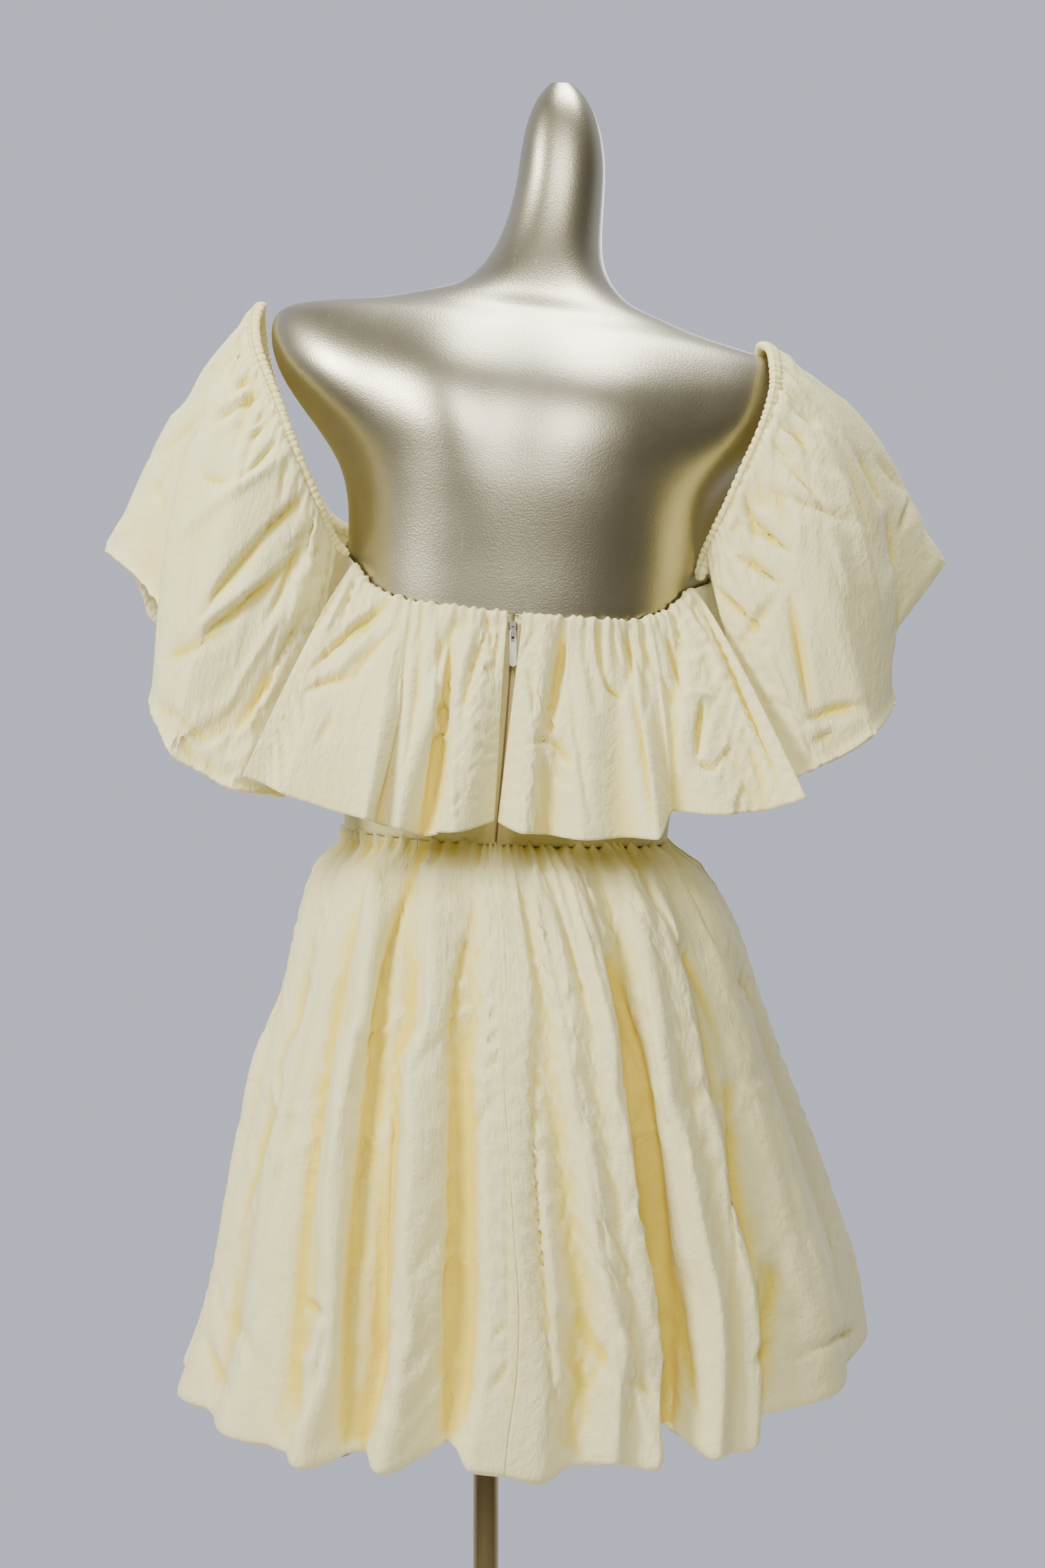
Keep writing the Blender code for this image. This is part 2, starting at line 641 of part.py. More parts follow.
def make_flounces(parts):
    """Back flounce in two halves that part at the zip, and the front flounce."""
    cloth_panel("flounce_back_left", flounce_grid(FLOUNCE_BACK_LEFT, 1), parts, leftwards=True)
    cloth_panel("flounce_back_right", flounce_grid(FLOUNCE_BACK_RIGHT, -1), parts)
    cloth_panel("flounce_front", flounce_grid(FLOUNCE_FRONT, -1), parts)


def path_points(rows, along):
    """Points at fractions of the length of a smooth path through a table's points."""
    names = ("x", "y", "z")
    dense = np.stack(through(rows, names, 12), axis=-1) * MM
    length = np.concatenate([[0.0], np.cumsum(np.linalg.norm(np.diff(dense, axis=0), axis=1))])
    where = np.asarray(along) * length[-1]
    return np.stack([np.interp(where, length, dense[:, axis]) for axis in range(3)], axis=-1)


def sleeve_grid(rows, elastic, outwards):
    """Full sleeve gathered into the elastic, open below, with its edge turned under."""
    along, x, y, z, bow = through(rows, ("along", "x", "y", "z", "bow"), SLEEVE_STEPS)
    band = path_points(elastic, along)
    hem = np.stack([x, y, z], axis=-1) * MM
    line = unit(hem - band)
    away = unit(np.cross(np.gradient(band, axis=0), line)) * outwards
    top = band + unit(line + away) * (ELASTIC_RADIUS + CLOTH)
    drops = np.array(SLEEVE_DROPS)
    grid, away = bowed(top, hem, drops, bow * MM, outwards)
    fade = np.exp(-(drops / 0.15) ** 2)
    grid = grid + away[None] * gather_wave(len(along), fade)[..., None]
    line = unit(hem - top)
    inwards = unit(np.cross(line, np.gradient(hem, axis=0))) * outwards
    turned_under = [hem + (line * row.below + inwards * row.inside) * MM for row in SLEEVE_HEM_ROWS]
    return np.concatenate([grid, np.stack(turned_under)])


def make_sleeves(parts):
    """Left and right off-shoulder sleeves."""
    cloth_panel("sleeve_left", sleeve_grid(SLEEVE_LEFT, ELASTIC_LEFT, 1), parts, leftwards=True)
    cloth_panel("sleeve_right", sleeve_grid(SLEEVE_RIGHT, ELASTIC_RIGHT, -1), parts)


def make_elastic(name, rows, parts):
    """Ruched elastic casing: a cord whose thickness swells at each ruche."""
    count = ELASTIC_RUCHES * 2 + 1
    points = path_points(rows, np.linspace(0, 1, count))
    curve = bpy.data.curves.new(name, "CURVE")
    curve.dimensions = "3D"
    curve.bevel_depth = ELASTIC_RADIUS
    curve.bevel_resolution = 1
    curve.use_fill_caps = True
    spline = curve.splines.new("POLY")
    spline.points.add(count - 1)
    for number, (point, place) in enumerate(zip(spline.points, points)):
        point.co = (*place, 1.0)
        point.radius = 1.0 if number % 2 else 0.86
    return add_object(name, curve, "yellow_poplin", parts)


def flat_plate(name, outlines, thickness, material, parts):
    """Plate from flat outlines, the first its edge and any others holes in it."""
    curve = bpy.data.curves.new(name, "CURVE")
    curve.dimensions = "2D"
    curve.fill_mode = "BOTH"
    curve.extrude = thickness / 2
    for outline in outlines:
        spline = curve.splines.new("POLY")
        spline.points.add(len(outline) - 1)
        spline.use_cyclic_u = True
        for point, (across, up) in zip(spline.points, outline):
            point.co = (across, up, 0.0, 1.0)
    return add_object(name, curve, material, parts)


def arc(centre, radius, start_deg, end_deg, steps):
    """Points of an arc about a centre, as (across, up) pairs."""
    angles = np.radians(np.linspace(start_deg, end_deg, steps + 1))
    return [(centre[0] + radius * math.cos(a), centre[1] + radius * math.sin(a)) for a in angles]


def place_facing_back(thing, place):
    """Stand a flat plate up so that it faces the garment's back, at a place."""
    thing.location = place
    thing.rotation_euler = (math.pi / 2, 0.0, 0.0)


def as_mesh(thing, parts):
    """Welded mesh object in place of a curve object."""
    evaluated = thing.evaluated_get(bpy.context.evaluated_depsgraph_get())
    mesh = bpy.data.meshes.new_from_object(evaluated)
    shell = bmesh.new()
    shell.from_mesh(mesh)
    bmesh.ops.remove_doubles(shell, verts=shell.verts[:], dist=0.000005)
    shell.to_mesh(mesh)
    shell.free()
    solid = bpy.data.objects.new(thing.name, mesh)
    solid.matrix_world = thing.matrix_world
    name = thing.name
    bpy.data.objects.remove(thing)
    solid.name = name
    parts.objects.link(solid)
    return solid


def make_zip(parts, cutters):
    """Zip tape in the back opening, the slider with its bridge, and the pull tab."""
    heights = np.linspace(neckline(BACK_OPENING_TURN) - TAPE_DROP, waistline(BACK_OPENING_TURN),
                          TAPE_ROWS)
    turns = BACK_OPENING_TURN + np.array([-TAPE_HALF_TURN, TAPE_HALF_TURN])
    tape = cloth_panel("zip_tape", form_point(turns[None, :], heights[:, None], BODICE_OUT), parts)
    tape.data.materials[0] = new_material("zip_tape")

    wide, deep, tall = SLIDER_SIZE
    seat = form_point(BACK_OPENING_TURN, SLIDER_HEIGHT, BODICE_OUT + SEAM_GAP)
    upper = form_point(BACK_OPENING_TURN, SLIDER_HEIGHT + tall / 2, BODICE_OUT + SEAM_GAP)
    face_y = min(seat[1], upper[1]) - SEAM_GAP
    shell = bmesh.new()
    bmesh.ops.create_cube(shell, size=1.0)
    for corner in shell.verts:
        taper = SLIDER_TAPER if corner.co.z < 0 else 1.0
        corner.co = (corner.co.x * wide * taper, corner.co.y * deep, corner.co.z * tall)
    mesh = bpy.data.meshes.new("zip_slider")
    shell.to_mesh(mesh)
    shell.free()
    slider = add_object("zip_slider", mesh, "zip_metal", parts)
    slider.location = (seat[0], face_y - deep / 2, SLIDER_HEIGHT)
    edges = slider.modifiers.new("Rounded edges", "BEVEL")
    edges.width = SLIDER_ROUNDING
    edges.segments = 1

    front = face_y - deep
    reach = BRIDGE_GAP + BRIDGE_STRAP
    outer = [(BRIDGE_STRAP, -BRIDGE_FOOT_HALF), (-reach, -BRIDGE_TOP_HALF),
             (-reach, BRIDGE_TOP_HALF), (BRIDGE_STRAP, BRIDGE_FOOT_HALF)]
    inner = [(0.0, -BRIDGE_HOLE_HALF), (-BRIDGE_GAP, -BRIDGE_HOLE_TOP_HALF),
             (-BRIDGE_GAP, BRIDGE_HOLE_TOP_HALF), (0.0, BRIDGE_HOLE_HALF)]
    outer = [(front + y, z + SLIDER_HEIGHT) for y, z in outer]
    inner = [(front + y, z + SLIDER_HEIGHT) for y, z in inner]
    bridge = flat_plate("slider_bridge", [outer, inner], BRIDGE_WIDTH, "zip_metal", parts)
    bridge.location = (seat[0], 0.0, 0.0)
    bridge.rotation_euler = (math.pi / 2, 0.0, math.pi / 2)
    bpy.context.view_layer.update()
    parts.objects.unlink(bridge)
    bridge = as_mesh(bridge, cutters)
    bridge.hide_render = True
    bridge.display_type = "WIRE"
    union = slider.modifiers.new("Bridge", "BOOLEAN")
    union.operation = "UNION"
    union.object = bridge

    half_bar = TAB_BAR / 2
    hinge = (seat[0], front - BRIDGE_GAP / 2, SLIDER_HEIGHT + TAB_BAR)
    head, shoulder = TAB_HEAD_HALF, TAB_HEAD_HALF - half_bar
    top = [(-head, TAB_SLOT_BOTTOM), (-head, 0.0), (-shoulder, half_bar), (shoulder, half_bar),
           (head, 0.0), (head, TAB_SLOT_BOTTOM)]
    bottom = arc((0.0, TAB_TIP_RADIUS - TAB_LENGTH), TAB_TIP_RADIUS, 0, -180, 8)
    slot = [(-TAB_SLOT_HALF, TAB_SLOT_BOTTOM), (TAB_SLOT_HALF, TAB_SLOT_BOTTOM),
            (TAB_SLOT_HALF, -half_bar), (-TAB_SLOT_HALF, -half_bar)]
    tab = flat_plate("zip_pull_tab", [top + bottom, slot], TAB_BAR, "ivory_enamel", parts)
    place_facing_back(tab, hinge)


def make_hook_and_eye(parts):
    """Small wire eye and hook that close the top of the back opening."""
    middle = form_point(BACK_OPENING_TURN, neckline(BACK_OPENING_TURN) - HOOK_DROP, BODICE_OUT)
    eye_loop = [(3.0, 1.1), (0.9, 1.1), (0.2, 0.4), (0.2, -0.4), (0.9, -1.1), (3.0, -1.1)]
    hook_bar = [(-3.4, 0.0), (0.8, 0.0), (1.2, 0.0)]
    shapes = {"closure_eye": (eye_loop, EYE_OUT), "closure_hook": (hook_bar, HOOK_OUT)}
    for name, (outline, out) in shapes.items():
        curve = bpy.data.curves.new(name, "CURVE")
        curve.dimensions = "3D"
        curve.bevel_depth = HOOK_WIRE_RADIUS
        curve.bevel_resolution = 1
        curve.use_fill_caps = True
        spline = curve.splines.new("POLY")
        spline.points.add(len(outline) - 1)
        for point, (across, up) in zip(spline.points, outline):
            point.co = (middle[0] + across * MM, middle[1] - out, middle[2] + up * MM, 1.0)
        add_object(name, curve, "zip_metal", parts)


def main():
    """Build every piece of the dress, the form and its stand."""
    for thing in list(bpy.data.objects):
        bpy.data.objects.remove(thing)
    parts = bpy.data.collections.new("off_shoulder_dress")
    cutters = bpy.data.collections.new("cutters")
    bpy.context.scene.collection.children.link(parts)
    bpy.context.scene.collection.children.link(cutters)
    make_stand(parts)
    make_form(parts)
    make_bodice(parts)
    make_skirt(parts)
    make_flounces(parts)
    make_sleeves(parts)
    make_elastic("elastic_left", ELASTIC_LEFT, parts)
    make_elastic("elastic_right", ELASTIC_RIGHT, parts)
    make_zip(parts, cutters)
    make_hook_and_eye(parts)


main()
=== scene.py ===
"""Looks of the off-shoulder dress on its limbless form and pole stand.

Metres, +Z up. The garment's zipped back faces -Y. A turn is an angle round the body in
degrees, seen from above: 0 is centre back, 90 is +X, 180 is centre front, -90 is -X.
Every cloth piece is a grid of points: its rows run down the cloth, its columns across.
"""
import logging
import math
from dataclasses import dataclass, field
from enum import Enum
from typing import Callable, NamedTuple, Optional, Sequence

import bmesh
import bpy
import numpy as np
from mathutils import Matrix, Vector


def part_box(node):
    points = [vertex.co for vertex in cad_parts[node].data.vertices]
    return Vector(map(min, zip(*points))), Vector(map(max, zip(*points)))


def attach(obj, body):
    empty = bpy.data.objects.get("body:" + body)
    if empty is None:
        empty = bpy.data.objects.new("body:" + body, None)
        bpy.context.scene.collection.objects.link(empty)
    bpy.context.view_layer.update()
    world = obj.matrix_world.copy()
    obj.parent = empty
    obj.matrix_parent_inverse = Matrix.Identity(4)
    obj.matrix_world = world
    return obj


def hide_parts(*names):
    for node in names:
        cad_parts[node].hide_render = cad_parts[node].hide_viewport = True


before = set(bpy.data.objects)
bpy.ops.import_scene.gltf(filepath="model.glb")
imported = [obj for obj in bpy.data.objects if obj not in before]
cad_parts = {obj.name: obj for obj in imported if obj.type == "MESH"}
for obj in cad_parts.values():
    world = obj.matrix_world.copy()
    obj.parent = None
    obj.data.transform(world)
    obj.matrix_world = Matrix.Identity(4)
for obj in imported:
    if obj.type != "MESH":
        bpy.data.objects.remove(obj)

LOG = logging.getLogger("off_shoulder_dress")
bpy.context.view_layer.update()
MM = 0.001
BODY = "dress_and_form"
CAMERA_PLACE = (0.0267, -1.8, 1.08)
FOCAL_PX = 3711.0
PICTURE_PX = (1568.0, 2352.0)
STEEP_SHARE = 0.65
BELL_POWER = 1.6
TAPER_POWER = 0.9
BOW_POWER = 0.75
PATH_STEPS = 24
PATH_READINGS = 600


class Side(Enum):
    """Which way a sleeve or flounce faces, as the sign of its outward normal."""

    WEARERS_LEFT = 1
    WEARERS_RIGHT = -1


class Section(NamedTuple):
    """Horizontal section of the form, in millimetres, before the body leans."""

    height: float
    half_width: float
    back: float
    front: float


class Lean(NamedTuple):
    """Sideways shift of a height of the form, and how far its right side dips there."""

    height: float
    shift: float
    dip_deg: float


class Relief(NamedTuple):
    """Hollow (positive depth) or swell of the upper back, in millimetres."""

    side: float
    height: float
    width: float
    tall: float
    depth: float


class NeckPoint(NamedTuple):
    """Height of the neckline seam at a turn, in millimetres."""

    turn: float
    height: float


class SkirtSection(NamedTuple):
    """How far the skirt stands from the axis at a drop below the waist, in millimetres."""

    drop: float
    left: float
    right: float
    back: float
    front: float


class SkirtFold(NamedTuple):
    """Crest or valley of the skirt: its turns at waist and hem, its depth, its hem height."""

    top_turn: float
    hem_turn: float
    depth: float
    hem: float


class FlounceFold(NamedTuple):
    """Crest or valley of a flounce: the turn where it leaves the neckline, its hem point."""

    turn: float
    x: float
    y: float
    z: float


class SleeveFold(NamedTuple):
    """Crest or valley of a sleeve: its place along the elastic, its hem point, its bow."""

    along: float
    x: float
    y: float
    z: float
    bow: float


class PathPoint(NamedTuple):
    """Point of the elastic's path, in millimetres."""

    x: float
    y: float
    z: float


class HemRow(NamedTuple):
    """Row of a hem that turns under: how far below the hem line and inside it, in mm."""

    below: float
    inside: float


class Crease(NamedTuple):
    """Crease as the camera sees it, in the picture's pixels: its two ends, its sideways bow and
    its half width. Its depth is in millimetres, negative for a ridge. Its steep side is 1 for
    the right of a run that goes down, -1 for the left, and 0 where both sides are alike."""

    x0: float
    y0: float
    x1: float
    y1: float
    bow: float
    width: float
    depth: float
    steep: float = 0.0


def table(kind: Callable[..., NamedTuple], *rows: tuple) -> tuple[NamedTuple, ...]:
    """Table of one kind of row, from plain tuples."""
    return tuple(kind(*row) for row in rows)


def column(rows: Sequence[NamedTuple], name: str) -> np.ndarray:
    """One named column of a table, as an array."""
    return np.array([getattr(row, name) for row in rows], dtype=float)


def smooth(where: np.ndarray, knots: Sequence[float], values: Sequence[float]) -> np.ndarray:
    """Cubic curve through the values at the knots that never overshoots them.

    Each piece is the Hermite cubic whose end slopes are the harmonic means of the
    neighbouring chords' slopes, or zero where the chords turn back.

    Args:
        where: places to read the curve at.
        knots: places of the known values, rising.
        values: known values.

    Returns:
        The curve's values at the places.
    """
    knots = np.asarray(knots, dtype=float)
    values = np.asarray(values, dtype=float)
    rate = np.diff(values) / np.diff(knots)
    slope = np.empty_like(values)
    slope[0], slope[-1] = rate[0], rate[-1]
    before, after = rate[:-1], rate[1:]
    same_way = before * after > 0
    total = np.where(same_way, before + after, 1.0)
    slope[1:-1] = np.where(same_way, 2 * before * after / total, 0.0)
    where = np.clip(np.asarray(where, dtype=float), knots[0], knots[-1])
    piece = np.clip(np.searchsorted(knots, where, side="right") - 1, 0, len(knots) - 2)
    width = knots[piece + 1] - knots[piece]
    t = (where - knots[piece]) / width
    return (values[piece] * (1 + 2 * t) * (1 - t) ** 2
            + slope[piece] * width * t * (1 - t) ** 2
            + values[piece + 1] * t ** 2 * (3 - 2 * t)
            - slope[piece + 1] * width * t ** 2 * (1 - t))


def through(rows: Sequence[NamedTuple], names: Sequence[str], steps: int) -> list[np.ndarray]:
    """Columns of a table, carried smoothly over its rows.

    Args:
        rows: the table.
        names: names of the columns.
        steps: steps from each row to the next.

    Returns:
        One array for each name.
    """
    knots = np.arange(len(rows), dtype=float)
    where = np.linspace(0, len(rows) - 1, (len(rows) - 1) * steps + 1)
    return [smooth(where, knots, column(rows, name)) for name in names]


def unit(vectors: np.ndarray) -> np.ndarray:
    """Vectors at length one."""
    return vectors / np.maximum(np.linalg.norm(vectors, axis=-1, keepdims=True), 1e-12)


def grid_normals(grid: np.ndarray) -> np.ndarray:
    """Normals of a grid of points: the cross product of its row and column directions."""
    return unit(np.cross(np.gradient(grid, axis=0), np.gradient(grid, axis=1)))


def blurred(grid: np.ndarray, rounds: int) -> np.ndarray:
    """Grid after rounds of averaging each point with its four neighbours, ends held."""
    for _ in range(rounds):
        for axis in (0, 1):
            steps = np.arange(grid.shape[axis])
            ahead = np.take(grid, np.minimum(steps + 1, steps[-1]), axis)
            behind = np.take(grid, np.maximum(steps - 1, 0), axis)
            grid = grid * 0.5 + (ahead + behind) * 0.25
    return grid


def finer(grid: np.ndarray, times: int) -> np.ndarray:
    """Grid with more rows and columns, by Catmull-Rom curves through its points.

    Args:
        grid: rows of columns of points.
        times: how many steps each old step becomes.

    Returns:
        The finer grid, with the old points among its own.
    """
    for axis in (0, 1):
        count = grid.shape[axis]
        where = np.linspace(0, count - 1, (count - 1) * times + 1)
        start = np.minimum(where.astype(int), count - 2)
        t = (where - start).reshape([-1 if a == axis else 1 for a in range(3)])
        before, after = np.maximum(start - 1, 0), np.minimum(start + 2, count - 1)
        p0, p1, p2, p3 = (np.take(grid, index, axis)
                          for index in (before, start, start + 1, after))
        grid = 0.5 * (2 * p1 + (p2 - p0) * t + (2 * p0 - 5 * p1 + 4 * p2 - p3) * t ** 2
                      + (3 * p1 - p0 - 3 * p2 + p3) * t ** 3)
    return grid


def run_lengths(grid: np.ndarray) -> tuple[np.ndarray, np.ndarray]:
    """Lengths across and down the cloth to each point, from the first column and row."""
    across = np.linalg.norm(np.diff(grid, axis=1), axis=2).mean(axis=0)
    down = np.linalg.norm(np.diff(grid, axis=0), axis=2)
    across = np.concatenate([[0.0], np.cumsum(across)])
    down = np.concatenate([np.zeros((1, grid.shape[1])), np.cumsum(down, axis=0)])
    return np.broadcast_to(across, grid.shape[:2]), down


@dataclass
class MeshMaker:
    """Puts numpy grids into Blender meshes."""

    collection: bpy.types.Collection = field(default_factory=lambda: bpy.context.scene.collection)
    sharp_from_deg: float = 35.0

    def surface(self, name: str, grid: np.ndarray, closed: bool = False,
                measures: Optional[tuple[np.ndarray, np.ndarray]] = None,
                masks: Optional[dict[str, np.ndarray]] = None) -> bpy.types.Object:
        """Smooth quad mesh of a grid, seen from outside with its rows going down.

        Args:
            name: the piece's name.
            grid: rows × columns × 3 points.
            closed: whether the last column meets the first.
            measures: lengths across and down, used as UV coordinates.
            masks: values from 0 to 1 for each point, kept as attributes.

        Returns:
            The new object, at the origin.
        """
        rows, columns = grid.shape[:2]
        index = np.arange(rows * columns).reshape(rows, columns)
        if closed:
            index = np.concatenate([index, index[:, :1]], axis=1)
        quads = np.stack([index[:-1, :-1], index[1:, :-1], index[1:, 1:], index[:-1, 1:]], axis=-1)
        quads = quads.reshape(-1, 4)
        corners = quads.reshape(-1)
        mesh = bpy.data.meshes.new(name)
        mesh.vertices.add(rows * columns)
        mesh.vertices.foreach_set("co", grid.reshape(-1).astype(np.float32))
        mesh.loops.add(quads.size)
        mesh.loops.foreach_set("vertex_index", corners.astype(np.int32))
        mesh.polygons.add(len(quads))
        mesh.polygons.foreach_set("loop_start", np.arange(0, quads.size, 4, dtype=np.int32))
        mesh.update(calc_edges=True)
        if measures is not None:
            flat = np.stack([measure.reshape(-1)[corners] for measure in measures], axis=-1)
            layer = mesh.uv_layers.new(name="Cloth")
            layer.data.foreach_set("uv", flat.reshape(-1).astype(np.float32))
        for mask_name, values in (masks or {}).items():
            attribute = mesh.attributes.new(mask_name, "FLOAT", "POINT")
            attribute.data.foreach_set("value", values.reshape(-1).astype(np.float32))
        mesh.validate()
        mesh.shade_smooth()
        piece = bpy.data.objects.new(name, mesh)
        self.collection.objects.link(piece)
        return piece

    def turned(self, name: str, outline: Sequence[tuple[float, float]],
               sides: int) -> bpy.types.Object:
        """Solid of revolution about the stand's axis.

        A point is (radius · sin turn, −radius · cos turn, height), for each (radius, height)
        of the outline, which runs from the top's middle down the outside to the bottom's.

        Args:
            name: the piece's name.
            outline: (radius, height) pairs in metres.
            sides: points round the axis.

        Returns:
            The new object.
        """
        radius, height = np.array(outline, dtype=float).T
        turns = np.linspace(0, 2 * math.pi, sides, endpoint=False)
        grid = np.stack([radius[:, None] * np.sin(turns), -radius[:, None] * np.cos(turns),
                         np.broadcast_to(height[:, None], (len(radius), sides))], axis=-1)
        piece = self.surface(name, grid, closed=True)
        self.weld(piece)
        piece.data.set_sharp_from_angle(angle=math.radians(self.sharp_from_deg))
        return piece

    @staticmethod
    def weld(piece: bpy.types.Object, distance: float = 1e-6, outwards: bool = False) -> None:
        """Merge points that lie on each other, and turn the faces outwards if asked."""
        shell = bmesh.new()
        shell.from_mesh(piece.data)
        bmesh.ops.remove_doubles(shell, verts=shell.verts[:], dist=distance)
        bmesh.ops.dissolve_degenerate(shell, edges=shell.edges[:], dist=distance)
        if outwards:
            bmesh.ops.recalc_face_normals(shell, faces=shell.faces[:])
        shell.to_mesh(piece.data)
        shell.free()
        piece.data.shade_smooth()


@dataclass(frozen=True)
class Gathers:
    """Fine gathers that start at a seam and run down the cloth, each one uneven."""

    count: int
    height: float
    reach: float
    seed: int
    spread: float = 0.9
    half: float = 0.30
    wander: float = 0.32
    drift: float = 0.5
    reaches: tuple[float, ...] = (0.35, 0.6, 1.0, 1.6, 2.4)
    heights: tuple[float, float] = (0.45, 1.25)
    sink: float = 0.45
    fall_power: float = 1.5

    def field(self, across: np.ndarray, down: np.ndarray) -> np.ndarray:
        """Height of the gathers over the cloth.

        Each gather is a bell across the cloth times a fall down it: it widens by its
        spread over its reach, and drifts a little to one side.

        Args:
            across: place along the seam, from 0 to 1.
            down: distance below the seam, in metres.

        Returns:
            The height at each point, in metres.
        """
        random = np.random.default_rng(self.seed)
        pitch = 1.0 / self.count
        total = np.zeros_like(down)
        for number in range(self.count):
            centre = (number + 0.5 + random.uniform(-self.wander, self.wander)) * pitch
            reach = self.reach * random.choice(self.reaches)
            tall = self.height * random.uniform(*self.heights)
            drift = random.uniform(-self.drift, self.drift) * pitch
            fall = np.exp(-(down / reach) ** self.fall_power)
            half = pitch * (self.half + 0.3 * self.spread * down / self.reach)
            offset = (across - centre - drift * down / self.reach) / half
            total += tall * fall * np.exp(-offset ** 2)
        return total - self.height * self.sink * np.exp(-(down / self.reach) ** self.fall_power)


@dataclass(frozen=True)
class Puckers:
    """Short uneven creases that fan out below a ruched edge."""

    count: int
    depth: float
    length: float
    seed: int
    lowest_top: float = 0.35
    lengths: tuple[float, float] = (0.4, 1.5)
    depths: tuple[float, float] = (0.5, 1.3)
    halves: tuple[float, float] = (0.05, 0.11)
    slant: float = 0.5
    bend: float = 0.12
    taper: float = 0.7

    def field(self, across: np.ndarray, down: np.ndarray, width: float) -> np.ndarray:
        """Depth of the creases over the cloth, each a slanted trough with tapering ends.

        Args:
            across: distance along the edge, in metres.
            down: distance below the edge, in metres.
            width: the edge's whole length, in metres.

        Returns:
            The inward depth at each point, in metres.
        """
        random = np.random.default_rng(self.seed)
        total = np.zeros_like(down)
        for _ in range(self.count):
            start = random.uniform(0.0, 1.0) * width
            top = random.uniform(0.0, self.lowest_top) * self.length
            long = self.length * random.uniform(*self.lengths)
            slant = random.uniform(-self.slant, self.slant)
            half = random.uniform(*self.halves) * long
            t = np.clip((down - top) / long, 0, 1)
            arch = np.sin(math.pi * t)
            bend = random.uniform(-self.bend, self.bend) * long * arch
            offset = (across - start - slant * (down - top) - bend) / half
            tall = self.depth * random.uniform(*self.depths)
            total += tall * np.exp(-offset ** 2) * arch ** self.taper
        return total


def seen_at(points: np.ndarray) -> tuple[np.ndarray, np.ndarray]:
    """Where the level camera sees points: the picture's x and y by plain perspective."""
    scale = FOCAL_PX / (points[..., 1] - CAMERA_PLACE[1])
    return (PICTURE_PX[0] / 2 + (points[..., 0] - CAMERA_PLACE[0]) * scale,
            PICTURE_PX[1] / 2 - (points[..., 2] - CAMERA_PLACE[2]) * scale)


def crease_depth(points: np.ndarray, creases: Sequence[Crease]) -> np.ndarray:
    """Inward depth of the listed creases at each point.

    A crease is the chord between its ends, bowed sideways as a parabola. Its section is
    a peaked bell, narrower on its steep side, and its depth falls to nothing at both ends.

    Args:
        points: rows × columns × 3 points, in metres.
        creases: the table.

    Returns:
        The depth at each point, in metres.
    """
    x, y = seen_at(points)
    total = np.zeros_like(x)
    for crease in creases:
        along = np.array([crease.x1 - crease.x0, crease.y1 - crease.y0])
        length = np.linalg.norm(along)
        along = along / length
        t = ((x - crease.x0) * along[0] + (y - crease.y0) * along[1]) / length
        offset = (x - crease.x0) * along[1] - (y - crease.y0) * along[0]
        offset = offset - crease.bow * 4 * t * (1 - t)
        steep_side = offset * crease.steep > 0
        narrow = np.where(steep_side, 1 - STEEP_SHARE * abs(crease.steep), 1.0)
        bell = np.exp(-np.abs(offset / (crease.width * narrow)) ** BELL_POWER)
        taper = np.sin(math.pi * np.clip(t, 0, 1)) ** TAPER_POWER
        total += crease.depth * MM * bell * taper
    return total


SETTLING = {"quality": 6, "mass": 0.15, "tension_stiffness": 30, "compression_stiffness": 30,
            "shear_stiffness": 12, "bending_stiffness": 0.6, "air_damping": 2,
            "vertex_group_mass": "Hold", "pin_stiffness": 0.6}


@dataclass
class ClothSettler:
    """Lets the cloth grids crumple and hang a little, each near its own shape."""

    frames: int = 20
    furthest: float = 0.0025
    gravity_share: float = 0.4
    waiting: dict[str, tuple[bpy.types.Object, np.ndarray]] = field(default_factory=dict)

    def add(self, name: str, grid: np.ndarray, hold: np.ndarray, growth: float) -> None:
        """Queue a cloth grid.

        Args:
            name: the piece's name.
            grid: its points.
            hold: how firmly each point stays, from 0 to 1.
            growth: share by which the cloth is larger than the grid, so that it crumples.
        """
        sheet = MeshMaker().surface(f"settling_{name}", grid)
        group = sheet.vertex_groups.new(name="Hold")
        levels = np.round(hold.reshape(-1), 2)
        for level in np.unique(levels):
            group.add(np.flatnonzero(levels == level).tolist(), float(level), "REPLACE")
        cloth = sheet.modifiers.new("Cloth", "CLOTH")
        for setting, value in SETTLING.items():
            setattr(cloth.settings, setting, value)
        cloth.settings.shrink_min = -growth
        cloth.settings.effector_weights.gravity = self.gravity_share
        cloth.collision_settings.use_collision = False
        self.waiting[name] = (sheet, grid)

    def run(self) -> dict[str, np.ndarray]:
        """Returns:
            The settled grids by name.
        """
        scene = bpy.context.scene
        scene.frame_start, scene.frame_end = 1, self.frames
        for number in range(1, self.frames + 1):
            scene.frame_set(number)
        settled = {}
        for name, (sheet, grid) in self.waiting.items():
            settled[name] = self.capped(sheet, grid)
            mesh = sheet.data
            bpy.data.objects.remove(sheet)
            bpy.data.meshes.remove(mesh)
        scene.frame_set(1)
        return settled

    def capped(self, sheet: bpy.types.Object, grid: np.ndarray) -> np.ndarray:
        """Settled points, none further from its own place than the furthest allowed."""
        evaluated = sheet.evaluated_get(bpy.context.evaluated_depsgraph_get())
        points = np.empty(grid.size, dtype=np.float32)
        evaluated.data.vertices.foreach_get("co", points)
        move = points.reshape(grid.shape) - grid
        far = np.linalg.norm(move, axis=-1, keepdims=True)
        LOG.info("%s settled by %.1f mm at most", sheet.name, float(far.max()) / MM)
        return grid + move * np.minimum(1.0, self.furthest / np.maximum(far, 1e-9))


